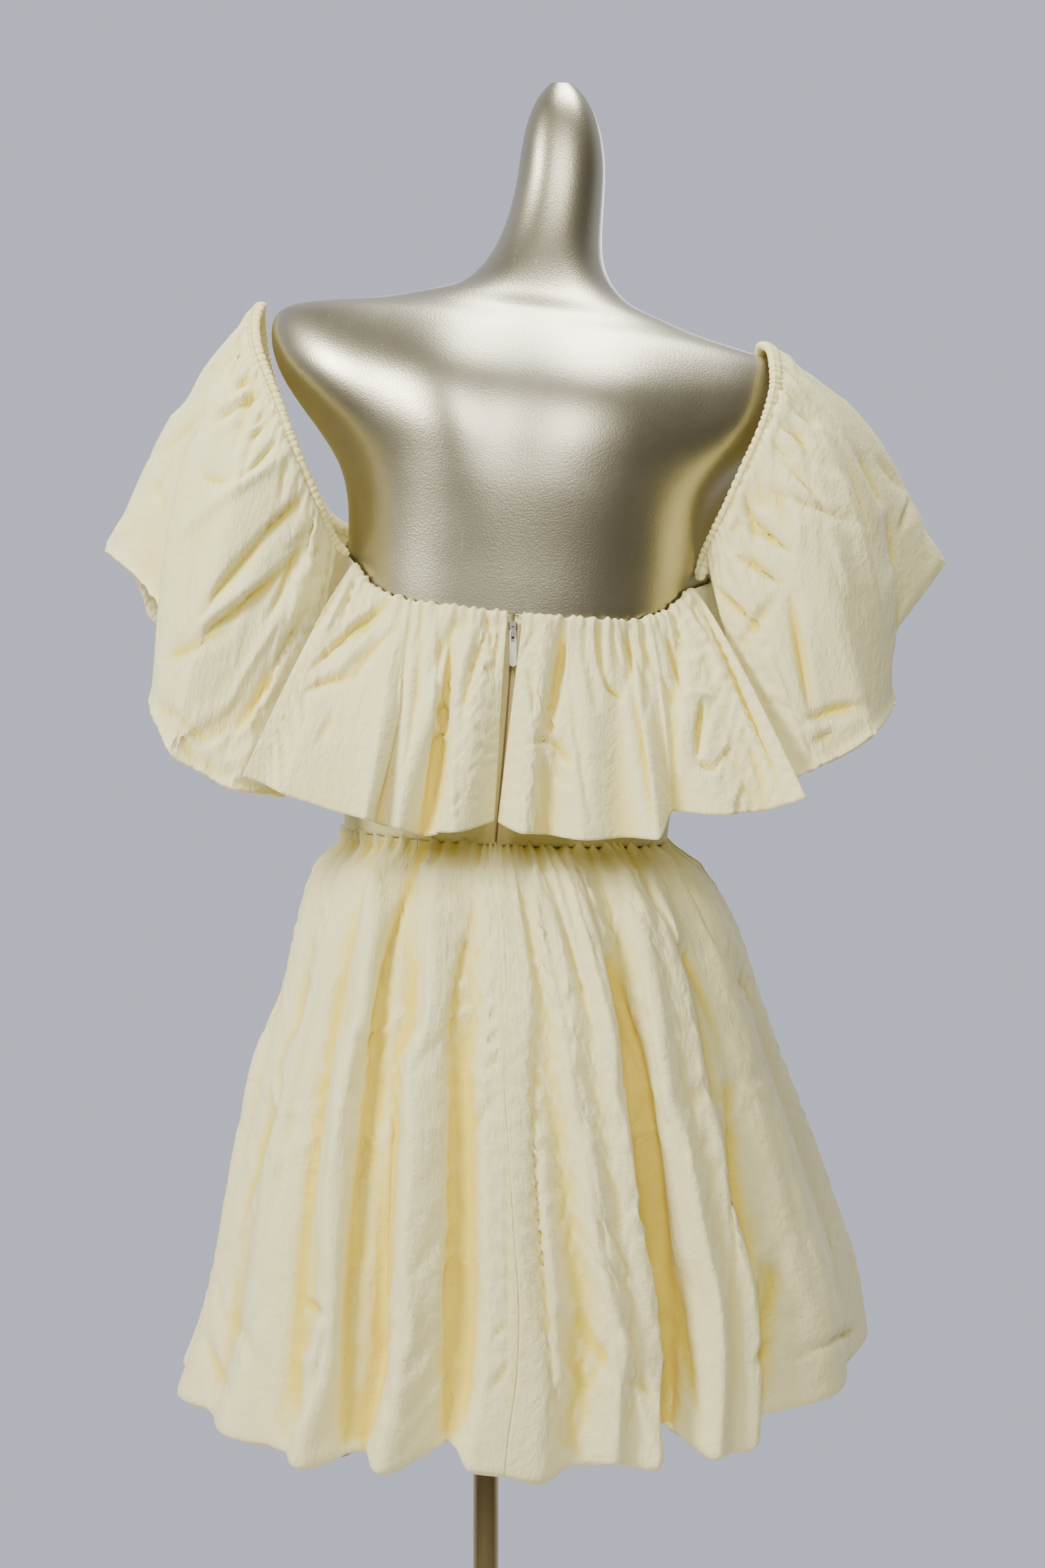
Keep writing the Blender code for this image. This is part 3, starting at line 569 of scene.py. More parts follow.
FORM_SECTIONS = table(Section, (775, 126, 84, 74), (785, 141, 102, 84), (820, 149, 116, 90),
    (860, 149, 118, 92), (900, 140, 110, 92), (940, 129, 97, 89), (980, 119, 84, 86),
    (1012, 115.2, 77, 83.5), (1036, 114, 75, 83), (1058, 114.4, 77.5, 85), (1082, 116, 82.5, 89),
    (1112, 119.3, 89.5, 97), (1145, 123.4, 97, 108), (1172, 127, 102.5, 117),
    (1203, 130, 106.5, 122), (1235, 131, 109, 121), (1265, 132, 112, 114), (1290, 137, 114, 104),
    (1313, 152, 114, 94), (1335, 172, 111, 83), (1360, 190, 102, 70), (1385, 196, 85, 58),
    (1397.5, 193, 75, 53), (1404, 175, 69, 50), (1409, 151, 64, 48), (1415, 121, 59, 47),
    (1420.5, 102, 56, 47), (1426, 84, 53, 47), (1431.5, 67, 49, 48), (1438.5, 57, 45, 49),
    (1453, 45, 38, 50), (1475, 37, 30, 48), (1505, 33.2, 23, 46), (1540, 31, 18, 44),
    (1563, 26.7, 12.5, 41), (1580, 20.4, 5, 36), (1590, 13, -3, 30), (1596.5, 3.5, -11, 18))
FORM_LEAN = table(Lean, (775, 0, 0), (850, 0, 0.2), (940, 5, 1.2), (1036, 13.6, 2.6),
    (1150, 24, 4.2), (1250, 31, 5.6), (1340, 36, 6.8), (1405, 40, 7.3), (1449, 43.2, 7),
    (1505, 52.9, 5.5), (1534, 56, 4), (1563, 56.3, 2), (1597, 54.8, 0))
BACK_RELIEF = table(Relief, (-22, 1345, 20, 62, 5), (-62, 1345, 38, 60, -4),
    (38, 1345, 48, 62, -4.5), (-110, 1330, 34, 60, 5), (112, 1330, 34, 62, 5))
NECKLINE = table(NeckPoint, (-180, 1235), (-150, 1246), (-125, 1257), (-105, 1250), (-85, 1240),
    (-64, 1229), (-48, 1208), (-30, 1199), (-3, 1197), (28, 1198), (42, 1206), (57, 1229),
    (80, 1240), (102, 1250), (122, 1257), (150, 1246), (180, 1235))
SKIRT_SECTIONS = table(SkirtSection, (20, 124, 156, 103, 108), (60, 138, 181, 133, 132),
    (105, 149, 197, 154, 152), (150, 167, 213, 169, 167), (200, 179, 233, 182, 180),
    (250, 189, 251, 191, 189), (300, 198, 268, 198, 196), (340, 207, 275, 203, 201),
    (380, 221, 279, 207, 205), (400, 226, 280, 208, 206))
SKIRT_BACK_LEFT = table(SkirtFold, (-95, -93, 0, 660), (-93, -91, 0, 660), (-86, -82, 12, 658),
    (-76, -72, 0, 655), (-65, -60, 13, 652), (-57, -50, 2, 648), (-48, -40, 17, 641),
    (-38, -34, 0, 637), (-28, -27.5, 34, 642), (-19, -21, 0, 638), (-9.5, -13, 24, 652),
    (-5.5, -7.5, 3, 639), (-2.4, -2.6, 3, 636.5))
SKIRT_BACK_RIGHT = table(SkirtFold, (-2.4, -2.6, 3, 636.5), (1, 2.5, 3, 632), (5, 8, 18, 639),
    (9.5, 13.5, 1, 645), (14.5, 16.5, 10, 641), (21, 20, 2, 641), (29, 24.5, 36, 660),
    (34.5, 29, 0, 646), (40, 32.5, 8, 646), (45, 35.5, 2, 649), (51, 39.5, 17, 663),
    (60, 52, 0, 672), (77, 70, 14, 676), (91, 88, 0, 683), (93, 90, 0, 683))
SKIRT_FRONT = table(SkirtFold, (93, 90, 0, 683), (95, 92, 0, 683), (103, 101, 16, 680),
    (113, 112, 0, 676), (122, 122, 22, 672), (131, 132, 0, 668), (140, 141, 14, 664),
    (148, 150, 1, 660), (157, 159, 26, 658), (166, 168, 0, 652), (174, 176, 15, 650),
    (183, 184, 1, 646), (191, 193, 24, 648), (200, 203, 0, 644), (209, 212, 18, 646),
    (219, 222, 1, 648), (228, 231, 26, 652), (238, 240, 0, 653), (247, 249, 15, 656),
    (255, 257, 1, 658), (259, 261, 8, 659), (263, 265, 0, 660), (265, 267, 0, 660))
FLOUNCE_BACK_LEFT = table(FlounceFold, (-4.7, 7.6, -124, 1053), (-11, -18, -142, 1046),
    (-18, -42, -127, 1045), (-25, -58, -141, 1050), (-32, -71, -130, 1053), (-36, -78, -152, 1056),
    (-44, -105, -149, 1064), (-52, -132, -150, 1073), (-56, -147, -144, 1079),
    (-60, -160.6, -147, 1083))
FLOUNCE_BACK_RIGHT = table(FlounceFold, (-0.1, 9.8, -124, 1052), (6, 28, -140, 1045),
    (12, 42, -128, 1045), (19, 68, -146, 1042), (25, 93, -137, 1044), (31, 118, -153, 1043),
    (36, 128, -130, 1062), (42, 158, -143, 1059), (48, 184, -135, 1060), (56, 217, -143, 1068.5))
FLOUNCE_FRONT = table(FlounceFold, (122, 198, 140, 1090), (128, 177, 143, 1080),
    (136, 152, 168, 1070), (145, 120, 158, 1064), (154, 90, 181, 1060), (163, 62, 167, 1058),
    (172, 34, 186, 1057), (181, 6, 171, 1057), (190, -22, 185, 1058), (199, -50, 166, 1060),
    (208, -78, 179, 1063), (217, -104, 157, 1068), (226, -130, 164, 1074), (232, -144, 141, 1080),
    (236, -158, 138, 1086))
ELASTIC_LEFT = table(PathPoint, (-94.4, -51.6, 1240.1), (-106, -54, 1249), (-118, -68, 1278),
    (-133, -70, 1313), (-148, -58, 1352), (-164, -36, 1393), (-167, -18, 1412), (-164, -2, 1428),
    (-166, 16, 1418), (-166, 34, 1402), (-157, 66, 1362), (-141, 84, 1318), (-124, 86, 1286),
    (-106, 79, 1273), (-89.3, 68.8, 1269.3))
ELASTIC_RIGHT = table(PathPoint, (150.8, -58.2, 1221), (155, -54.5, 1238), (171, -76, 1274),
    (183, -82, 1301), (193, -84, 1323), (200, -81, 1343), (204, -73, 1363), (204, -53, 1384),
    (200, -14, 1395.5), (204, 34, 1379), (206, 60, 1346), (198, 80, 1312), (180, 88, 1283),
    (160, 78, 1264), (155, 62.8, 1246.2))
SLEEVE_LEFT = table(SleeveFold, (0.030, -137, -94, 1072, 3), (0.114, -171, -119, 1078, 7),
    (0.188, -190, -114, 1088, 9), (0.263, -212, -115, 1101, 17), (0.337, -223, -97, 1116, 18),
    (0.411, -235, -66, 1142, 26), (0.467, -226, -32, 1184, 14), (0.504, -247, -2, 1224, 17),
    (0.551, -281, 26, 1253, 20), (0.635, -264, 58, 1236, 16), (0.709, -258, 82, 1212, 21),
    (0.793, -222, 94, 1178, 13), (0.876, -198, 112, 1150, 14), (0.960, -140, 98, 1116, 3))
SLEEVE_RIGHT = table(SleeveFold, (0.055, 196, -100, 1078, 3), (0.122, 228, -114, 1093, 7),
    (0.195, 244, -109, 1100, 9), (0.268, 266, -108, 1114, 17), (0.340, 279, -88, 1126, 23),
    (0.422, 289, -58, 1143, 36), (0.477, 283, -26, 1172, 35), (0.513, 300, 2, 1194, 32),
    (0.568, 340, 34, 1245, 28), (0.641, 324, 62, 1224, 22), (0.713, 312, 86, 1200, 22),
    (0.795, 272, 98, 1166, 13), (0.877, 246, 108, 1140, 12), (0.950, 192, 94, 1108, 2))
# Creases of the skirt's back, by their runs in the picture
SKIRT_CREASES = table(Crease, (468, 1290, 308, 1960, -6, 10, 4, -1),
    (519, 1241, 336, 1930, 4, 9, 4, 1), (495, 1420, 376, 1965, -4, 8, 4, -1),
    (562, 1262, 446, 2180, -30, 12, 6, 1), (584, 1300, 470, 1900, 0, 10, -3, 1),
    (636, 1270, 560, 1640, -14, 10, 9, 1), (600, 1380, 522, 2215, -10, 19, 14, 1),
    (588, 1500, 600, 2190, -12, 16, -4, -1), (655, 1270, 628, 1560, -6, 8, 3, 1),
    (716, 1350, 672, 1640, -12, 10, 5, -1), (690, 1480, 690, 2180, -8, 26, 8, -1),
    (674, 1850, 668, 2190, 0, 9, 7, -1), (745, 1255, 757, 2215, 10, 3, 1.4, 0),
    (748, 1476, 716, 1500, 4, 5, 2, -1), (750, 1506, 712, 1534, 4, 6, 2.4, -1),
    (751, 1540, 716, 1570, 4, 6, 2.2, -1), (752, 1574, 722, 1604, 4, 6, 2, -1),
    (745, 1390, 712, 1440, -5, 7, 3, -1), (756, 1640, 700, 1700, -8, 9, 3, -1),
    (758, 1980, 735, 2010, 2, 7, 2, -1), (770, 1290, 812, 1560, 6, 8, 3.5, -1),
    (806, 1500, 850, 2200, -14, 19, 7, 1), (782, 1275, 872, 1750, 14, 11, -4, 1),
    (872, 1700, 1000, 2200, -16, 13, -5, 1), (814, 1275, 893, 1560, 4, 8, 4, 1),
    (838, 1280, 935, 1620, 8, 9, -3.5, 1), (860, 1278, 950, 1560, 6, 8, 4.5, 1),
    (908, 1400, 978, 1720, 6, 10, 8, 1), (950, 1520, 1004, 2180, 14, 20, 14, 1),
    (935, 1320, 1014, 1800, 12, 12, -4, -1), (900, 1826, 905, 1885, 2, 7, 4, -1),
    (960, 1310, 1094, 1600, 12, 9, 4.5, 1), (1085, 1560, 1104, 1960, 4, 13, 4.5, -1),
    (1004, 1270, 1128, 1520, 4, 9, 7, -1), (1040, 1290, 1190, 1660, 6, 10, -3, 1),
    (1150, 1640, 1240, 1980, 6, 16, 4, 1), (1010, 1900, 1060, 2190, -6, 11, 4, -1),
    (448, 1950, 490, 1992, 6, 8, 5, -1), (490, 1985, 440, 2135, 4, 10, 6, -1),
    (455, 2020, 470, 2060, 0, 12, -3, 0), (560, 2090, 600, 2150, 4, 8, 2.5, -1),
    (1190, 2040, 1238, 2012, -3, 7, 3.5, -1), (1222, 2026, 1292, 1990, 3, 7, 4, 1),
    (1180, 1995, 1216, 1956, 3, 8, 3, -1), (1130, 2060, 1160, 2000, 3, 9, 3, 1),
    (925, 2060, 990, 2110, 4, 9, 3, -1), (345, 1960, 395, 2130, 4, 12, 4, -1),
    (300, 1990, 352, 2110, 2, 12, 3, 1))
# Creases of the back flounce's two halves
FLOUNCE_LEFT_CREASES = table(Crease, (514, 860, 462, 950, 2, 9, 5.5, -1),
    (535, 850, 480, 960, 4, 10, -3, 1), (596, 886, 462, 1008, -5, 9, 6, -1),
    (598, 936, 528, 1018, -9, 9, 5, -1), (540, 1008, 452, 1040, -7, 9, 4.5, -1),
    (560, 940, 500, 1015, 4, 14, -3.5, 1), (612, 905, 552, 1240, 8, 14, -4.5, 1),
    (634, 900, 606, 1160, 2, 10, 5, -1), (652, 915, 640, 1130, 6, 10, -3.5, 1),
    (676, 950, 652, 1120, 3, 7, 9, -1), (664, 1040, 630, 1265, 3, 14, 9, -1),
    (727, 915, 688, 1100, -4, 8, 4, -1), (705, 930, 672, 1110, 2, 10, -3, -1),
    (690, 1080, 684, 1255, -5, 10, -3, 1), (754, 930, 742, 1020, -3, 6, 2.5, -1),
    (712, 992, 748, 1022, 3, 7, 2.5, -1), (500, 1060, 470, 1120, 3, 12, 2, -1))
FLOUNCE_RIGHT_CREASES = table(Crease, (849, 915, 837, 1050, 2, 7, 8, 1),
    (842, 985, 820, 1130, 2, 12, 5.5, 1), (853, 1000, 888, 1240, -4, 10, 3.5, -1),
    (788, 1120, 826, 1116, 5, 8, 2.5, -1), (824, 1108, 856, 1156, 3, 8, 4, -1),
    (790, 1000, 800, 1080, 3, 9, 2.5, -1), (893, 925, 914, 1040, -4, 7, 5, -1),
    (904, 1022, 938, 1052, -3, 7, 4.5, -1), (916, 935, 940, 1010, 3, 8, -3, 1),
    (940, 930, 952, 1040, 3, 7, 5, 1), (948, 1010, 982, 1265, 1, 7, 6.5, 1),
    (970, 920, 1006, 1270, 12, 11, -4.5, 1), (1000, 940, 1030, 1045, -3, 9, 5, -1),
    (1026, 1032, 1066, 1042, -3, 7, -3.5, 1), (1056, 1044, 1044, 1148, -3, 9, 7.5, -1),
    (1042, 1146, 1080, 1156, 4, 8, 5, 1), (1072, 1156, 1098, 1120, 4, 8, 4, 1),
    (1030, 1060, 1022, 1180, -4, 12, -3, -1), (1044, 880, 1172, 1186, 0, 6, 8, -1),
    (1026, 900, 1096, 1040, 4, 12, -3.5, 1), (1112, 1096, 1146, 1212, 5, 9, 3, -1))
# Creases of the sleeves
SLEEVE_LEFT_CREASES = table(Crease, (380, 505, 338, 540, 3, 6, 3.5, -1),
    (345, 536, 342, 590, -3, 7, 5, -1), (396, 553, 348, 578, 3, 6, 3.5, -1),
    (404, 582, 312, 636, -4, 8, 6, -1), (408, 622, 355, 664, 4, 6, 3.5, -1),
    (418, 652, 348, 724, 5, 8, 5, -1), (350, 724, 292, 706, 5, 8, 4, 1),
    (446, 674, 250, 822, -6, 15, -4.5, 1), (452, 740, 396, 796, 3, 7, 3.5, -1),
    (468, 728, 250, 985, -8, 14, 6.5, -1), (486, 770, 420, 830, 3, 8, 3.5, -1),
    (490, 783, 240, 992, 12, 14, 6.5, -1), (420, 850, 260, 960, 4, 16, -4, 1),
    (240, 990, 360, 942, 4, 9, 3.5, 1), (452, 810, 396, 935, 3, 10, 5, -1),
    (228, 1048, 320, 1120, 4, 9, 4.5, 1), (250, 1080, 300, 1150, 4, 12, 3, 1),
    (470, 905, 340, 1120, 3, 10, 7, 1), (440, 900, 330, 1080, -3, 14, -3.5, 1),
    (322, 542, 256, 622, -3, 8, 4.5, -1), (315, 600, 218, 692, 3, 9, 4.5, -1),
    (262, 690, 200, 768, 3, 7, 3, 1), (300, 640, 262, 700, -3, 7, 3, 1),
    (226, 720, 246, 770, 3, 7, 2.5, -1))
SLEEVE_RIGHT_CREASES = table(Crease, (1172, 576, 1196, 612, 3, 5, 3, -1),
    (1186, 604, 1234, 640, -4, 7, 5, -1), (1162, 630, 1224, 664, -4, 7, 4, -1),
    (1158, 662, 1196, 690, -3, 6, 3.5, -1), (1162, 682, 1244, 768, 5, 10, 5, -1),
    (1130, 728, 1298, 790, 6, 8, 4.5, 1), (1112, 758, 1196, 838, -8, 7, 6.5, -1),
    (1196, 760, 1204, 836, 3, 9, -3, 1), (1082, 812, 1180, 880, -5, 7, 6, -1),
    (1104, 780, 1160, 812, -4, 6, 3.5, -1), (1052, 866, 1140, 950, 4, 8, 6, 1),
    (1170, 888, 1100, 982, -5, 13, 4.5, -1), (1180, 876, 1218, 1078, -3, 11, 5.5, -1),
    (1205, 900, 1232, 1060, -3, 16, -4, -1), (1228, 628, 1330, 966, 10, 12, -5, 1),
    (1244, 640, 1320, 900, 16, 9, 5, -1), (1200, 1084, 1310, 1056, 8, 13, 5, 1),
    (1210, 1120, 1270, 1090, 4, 10, 3, 1), (1268, 648, 1330, 768, 6, 8, 4.5, 1),
    (1312, 680, 1366, 744, -3, 7, 4, -1), (1366, 742, 1346, 800, 3, 7, 4, -1),
    (1330, 760, 1344, 860, 3, 9, 3, 1), (1380, 780, 1396, 850, 3, 8, 2.5, -1),
    (1240, 780, 1280, 900, -3, 18, -3, -1))
CREASES = {
    "skirt_panel_back_left": SKIRT_CREASES,
    "skirt_panel_back_right": SKIRT_CREASES,
    "flounce_panel_back_left": FLOUNCE_LEFT_CREASES,
    "flounce_panel_back_right": FLOUNCE_RIGHT_CREASES,
    "sleeve_panel_left": SLEEVE_LEFT_CREASES,
    "sleeve_panel_right": SLEEVE_RIGHT_CREASES,
}


@dataclass
class DressForm:
    """Limbless torso with a tapered neck, in satin gold."""

    sides: int = 180
    level_step: float = 0.0042
    power: float = 2.4
    smoothing: int = 12
    rim_share: float = 0.97
    sections: Sequence[Section] = FORM_SECTIONS
    leans: Sequence[Lean] = FORM_LEAN
    reliefs: Sequence[Relief] = BACK_RELIEF

    def ring(self, turn: np.ndarray, centre_x: np.ndarray, half_width: np.ndarray,
             centre_y: np.ndarray, half_depth: np.ndarray) -> tuple[np.ndarray, np.ndarray]:
        """Point of a rounded section: sine and cosine of the turn, swelled to a superellipse."""
        side, back = np.sin(np.radians(turn)), np.cos(np.radians(turn))
        swell = (np.abs(side) ** self.power + np.abs(back) ** self.power) ** (-1 / self.power)
        return centre_x + half_width * side * swell, centre_y - half_depth * back * swell

    def point(self, turn: np.ndarray, height: np.ndarray, out: np.ndarray = 0.0) -> np.ndarray:
        """Point of the form, or of a surface a little outside it.

        The section at that height is a superellipse with its own back and front depth.
        Hollows and swells move the back, then the whole section shifts and dips sideways.

        Args:
            turn: turn round the body, in degrees.
            height: height before the body leans, in metres.
            out: distance outside the form.

        Returns:
            The points, in metres.
        """
        turn, height = np.broadcast_arrays(np.asarray(turn, float), np.asarray(height, float))
        level = height / MM
        heights = column(self.sections, "height")
        half_width = smooth(level, heights, column(self.sections, "half_width")) * MM + out
        back = smooth(level, heights, column(self.sections, "back")) * MM
        front = smooth(level, heights, column(self.sections, "front")) * MM
        x, y = self.ring(turn, 0.0, half_width, (front - back) / 2, (front + back) / 2 + out)
        backness = np.clip(np.cos(np.radians(turn)) * 3, 0, 1)
        for mark in self.reliefs:
            aside, above = (x / MM - mark.side) / mark.width, (level - mark.height) / mark.tall
            y = y + mark.depth * MM * backness * np.exp(-(aside ** 2 + above ** 2))
        lean_heights = column(self.leans, "height")
        shift = smooth(level, lean_heights, column(self.leans, "shift")) * MM
        dip = np.radians(smooth(level, lean_heights, column(self.leans, "dip_deg")))
        return np.stack([shift + x * np.cos(dip), y, height - x * np.sin(dip)], axis=-1)

    def levels(self) -> np.ndarray:
        """Heights of the fine rings, from the top down, closer together where it curves."""
        heights = column(self.sections, "height") * MM
        widths = column(self.sections, "half_width") * MM
        run = np.concatenate([[0.0], np.cumsum(np.hypot(np.diff(heights), np.diff(widths)))])
        where = np.linspace(0, run[-1], int(run[-1] / self.level_step))
        return np.interp(where, run, heights)[::-1]

    def build(self, maker: MeshMaker) -> bpy.types.Object:
        """Fine closed mesh through the sections, its ends closed by flat fans."""
        turns = np.linspace(0, 360, self.sides, endpoint=False)
        grid = self.point(turns[None, :], self.levels()[:, None])
        wrap = self.smoothing + 1
        padded = np.concatenate([grid[:, -wrap:], grid, grid[:, :wrap]], axis=1)
        grid = blurred(padded, self.smoothing)[:, wrap:-wrap]
        top, bottom = (np.repeat(grid[[row]].mean(axis=1, keepdims=True), self.sides, axis=1)
                       for row in (0, -1))
        rim = bottom + (grid[-1:] - bottom) * self.rim_share
        grid = np.concatenate([top, grid, rim, bottom])
        piece = maker.surface("form_torso", grid, closed=True)
        maker.weld(piece)
        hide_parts("form_body")
        return piece


@dataclass
class Bodice:
    """Fitted bodice panels, split at centre back for the zip."""

    form: DressForm
    out: float = 0.0035
    thickness: float = 0.0009
    waist_height: float = 1.0375
    waist_side_rise: float = 0.005
    zip_turn: float = -2.8
    zip_half_turn: float = 0.35
    tape_half_turn: float = 0.55
    tape_drop: float = 0.0015
    tape_depth: float = 0.0006
    tape_columns: int = 9
    seam_gap: float = 0.0012
    left_seam: float = -95.0
    right_seam: float = 93.0
    rows: int = 60
    degrees_each: float = 1.6

    def neckline(self, turn: np.ndarray) -> np.ndarray:
        """Height of the neckline seam at a turn."""
        wrapped = (np.asarray(turn, float) + 180) % 360 - 180
        return smooth(wrapped, column(NECKLINE, "turn"), column(NECKLINE, "height")) * MM

    def waistline(self, turn: np.ndarray) -> np.ndarray:
        """Height of the waist seam at a turn: it rises a little at the sides."""
        return self.waist_height + self.waist_side_rise * np.sin(np.radians(turn)) ** 2

    def grid(self, first_turn: float, last_turn: float) -> np.ndarray:
        """Panel between two turns: the form's own surface, moved out, from neckline to waist."""
        steps = int(abs(last_turn - first_turn) / self.degrees_each)
        turns = np.linspace(first_turn, last_turn, steps + 1)[None, :]
        drops = np.linspace(0, 1, self.rows)[:, None]
        top, bottom = self.neckline(turns) - self.seam_gap, self.waistline(turns)
        return self.form.point(turns, top + (bottom - top) * drops, self.out)

    def zip_strip(self) -> np.ndarray:
        """Zip tape behind the back opening: a narrow strip just inside the panels."""
        turns = np.linspace(-self.tape_half_turn, self.tape_half_turn, self.tape_columns)
        turns = self.zip_turn + turns[None, :]
        drops = np.linspace(0, 1, self.rows * 2)[:, None]
        top = self.neckline(self.zip_turn) - self.tape_drop
        bottom = self.waistline(self.zip_turn)
        return self.form.point(turns, top + (bottom - top) * drops, self.out - self.tape_depth)

    def panels(self) -> dict[str, tuple[np.ndarray, tuple[str, ...]]]:
        """Each panel's grid and the node it stands for."""
        zip_left = self.zip_turn - self.zip_half_turn
        zip_right = self.zip_turn + self.zip_half_turn
        turns = {"back_left": (self.left_seam, zip_left),
                 "back_right": (zip_right, self.right_seam),
                 "front": (self.right_seam, self.left_seam + 360)}
        return {f"bodice_panel_{place}": (self.grid(*ends), (f"bodice_{place}",))
                for place, ends in turns.items()}


@dataclass
class Skirt:
    """Gathered skirt whose folds fan out from the waist and whose hem turns under."""

    bodice: Bodice
    steps: int = 6
    rows: int = 62
    seam_tuck: float = 0.0012
    row_crowding: float = 1.12
    fold_onset: float = 0.6
    fold_power: float = 0.8
    hem_rows: Sequence[HemRow] = table(HemRow, (3.2, 2.2), (5.4, 6.5), (4.6, 12), (-3, 17),
                                       (-16, 22), (-40, 28))

    def grid(self, rows: Sequence[SkirtFold]) -> np.ndarray:
        """Panel through its folds.

        A column runs from its turn at the waist to its turn at the hem, spreading with the
        square root of the drop. At each drop the outline is a superellipse ring, moved in
        by the fold's depth there, and below the hem the cloth rolls under and up.

        Args:
            rows: the panel's crests and valleys.

        Returns:
            The panel's points.
        """
        form, bodice = self.bodice.form, self.bodice
        top_turn, hem_turn, depth, hem = through(rows, SkirtFold._fields, self.steps)
        drops = (np.linspace(0, 1, self.rows) ** self.row_crowding)[:, None]
        seam = form.point(top_turn, bodice.waistline(top_turn), bodice.out)
        height = seam[None, :, 2] + (hem[None, :] * MM - seam[None, :, 2]) * drops
        below = column(self.hem_rows, "below")[:, None] * MM
        height = np.concatenate([height, height[-1] - below])
        spread = np.sqrt(np.concatenate([drops, np.ones((len(below), 1))]))
        turn = top_turn[None, :] + (hem_turn - top_turn)[None, :] * spread
        onset = drops ** self.fold_power
        grow = np.minimum(1.0, (1 + self.fold_onset) * onset / (self.fold_onset + onset))
        inset = depth[None, :] * MM * grow
        inset = np.concatenate([inset, inset[-1] + column(self.hem_rows, "inside")[:, None] * MM])
        fall = (bodice.waist_height - height) / MM
        knots = np.concatenate([[0.0], column(SKIRT_SECTIONS, "drop")])
        sides = np.array([-90.0, 90.0, 0.0, 180.0])
        waist = form.point(sides, bodice.waist_height, bodice.out) / MM
        start = {"left": -waist[0, 0], "right": waist[1, 0], "back": -waist[2, 1],
                 "front": waist[3, 1]}
        reach = {side: MM * smooth(fall, knots, np.append(first, column(SKIRT_SECTIONS, side)))
                 for side, first in start.items()}
        x, y = form.ring(turn, (reach["right"] - reach["left"]) / 2,
                         (reach["right"] + reach["left"]) / 2 - inset,
                         (reach["front"] - reach["back"]) / 2,
                         (reach["front"] + reach["back"]) / 2 - inset)
        grid = np.stack([x, y, height], axis=-1)
        grid[0] = form.point(top_turn, bodice.waistline(top_turn) + self.seam_tuck,
                             bodice.out - self.seam_tuck)
        return grid

    def panels(self) -> dict[str, tuple[np.ndarray, tuple[str, ...]]]:
        """Each panel's grid and the node it stands for."""
        tables = {"back_left": SKIRT_BACK_LEFT, "back_right": SKIRT_BACK_RIGHT,
                  "front": SKIRT_FRONT}
        return {f"skirt_panel_{place}": (self.grid(rows), (f"skirt_{place}",))
                for place, rows in tables.items()}


def bowed(top: np.ndarray, hem: np.ndarray, drops: np.ndarray, bow: np.ndarray,
          side: Side) -> np.ndarray:
    """Surface from a top edge to a hem that bows out on the way, most near the top.

    A point is top + drop · (hem − top) + bow · sine of (pi · drop^BOW_POWER) outwards.

    Args:
        top: points of the top edge.
        hem: points of the hem.
        drops: rows, from 0 at the top to 1 at the hem.
        bow: how far each column bows out.
        side: which way is outwards.

    Returns:
        The points.
    """
    line = hem - top
    away = unit(np.cross(np.gradient(top, axis=0), line)) * side.value
    bulge = np.sin(np.pi * drops ** BOW_POWER)[:, None, None]
    return top[None] + line[None] * drops[:, None, None] + away[None] * bow[None, :, None] * bulge


@dataclass
class Flounces:
    """Wide flounces sewn into the neckline, the back one in halves that part at the zip."""

    bodice: Bodice
    steps: int = 8
    rows: int = 34
    out: float = 0.0046
    bow: float = 0.005
    hem_lift: float = 2.0
    roll_rise: float = 0.0006
    roll_out: float = 0.0012

    def grid(self, rows: Sequence[FlounceFold], side: Side) -> np.ndarray:
        """Flounce from the neckline to its hem points."""
        turn, x, y, z = through(rows, FlounceFold._fields, self.steps)
        top = self.bodice.form.point(turn, self.bodice.neckline(turn), self.out)
        hem = np.stack([x, y, z + self.hem_lift], axis=-1) * MM
        drops = np.linspace(0, 1, self.rows)
        grid = bowed(top, hem, drops, np.full(len(turn), self.bow), side)
        seam = self.bodice.neckline(turn) + self.roll_rise
        rolled = self.bodice.form.point(turn, seam, self.roll_out)
        return np.concatenate([rolled[None], grid])

    def panels(self) -> dict[str, tuple[np.ndarray, tuple[str, ...]]]:
        """Each flounce's grid and the node it stands for."""
        grids = {"back_left": self.grid(FLOUNCE_BACK_LEFT, Side.WEARERS_LEFT)[:, ::-1],
                 "back_right": self.grid(FLOUNCE_BACK_RIGHT, Side.WEARERS_RIGHT),
                 "front": self.grid(FLOUNCE_FRONT, Side.WEARERS_RIGHT)}
        return {f"flounce_panel_{place}": (grid, (f"flounce_{place}",))
                for place, grid in grids.items()}


def path_points(rows: Sequence[PathPoint], along: np.ndarray) -> np.ndarray:
    """Points at fractions of the length of a smooth path through a table's points."""
    dense = np.stack(through(rows, PathPoint._fields, PATH_STEPS), axis=-1) * MM
    length = np.concatenate([[0.0], np.cumsum(np.linalg.norm(np.diff(dense, axis=0), axis=1))])
    where = np.asarray(along) * length[-1]
    return np.stack([np.interp(where, length, dense[:, axis]) for axis in range(3)], axis=-1)


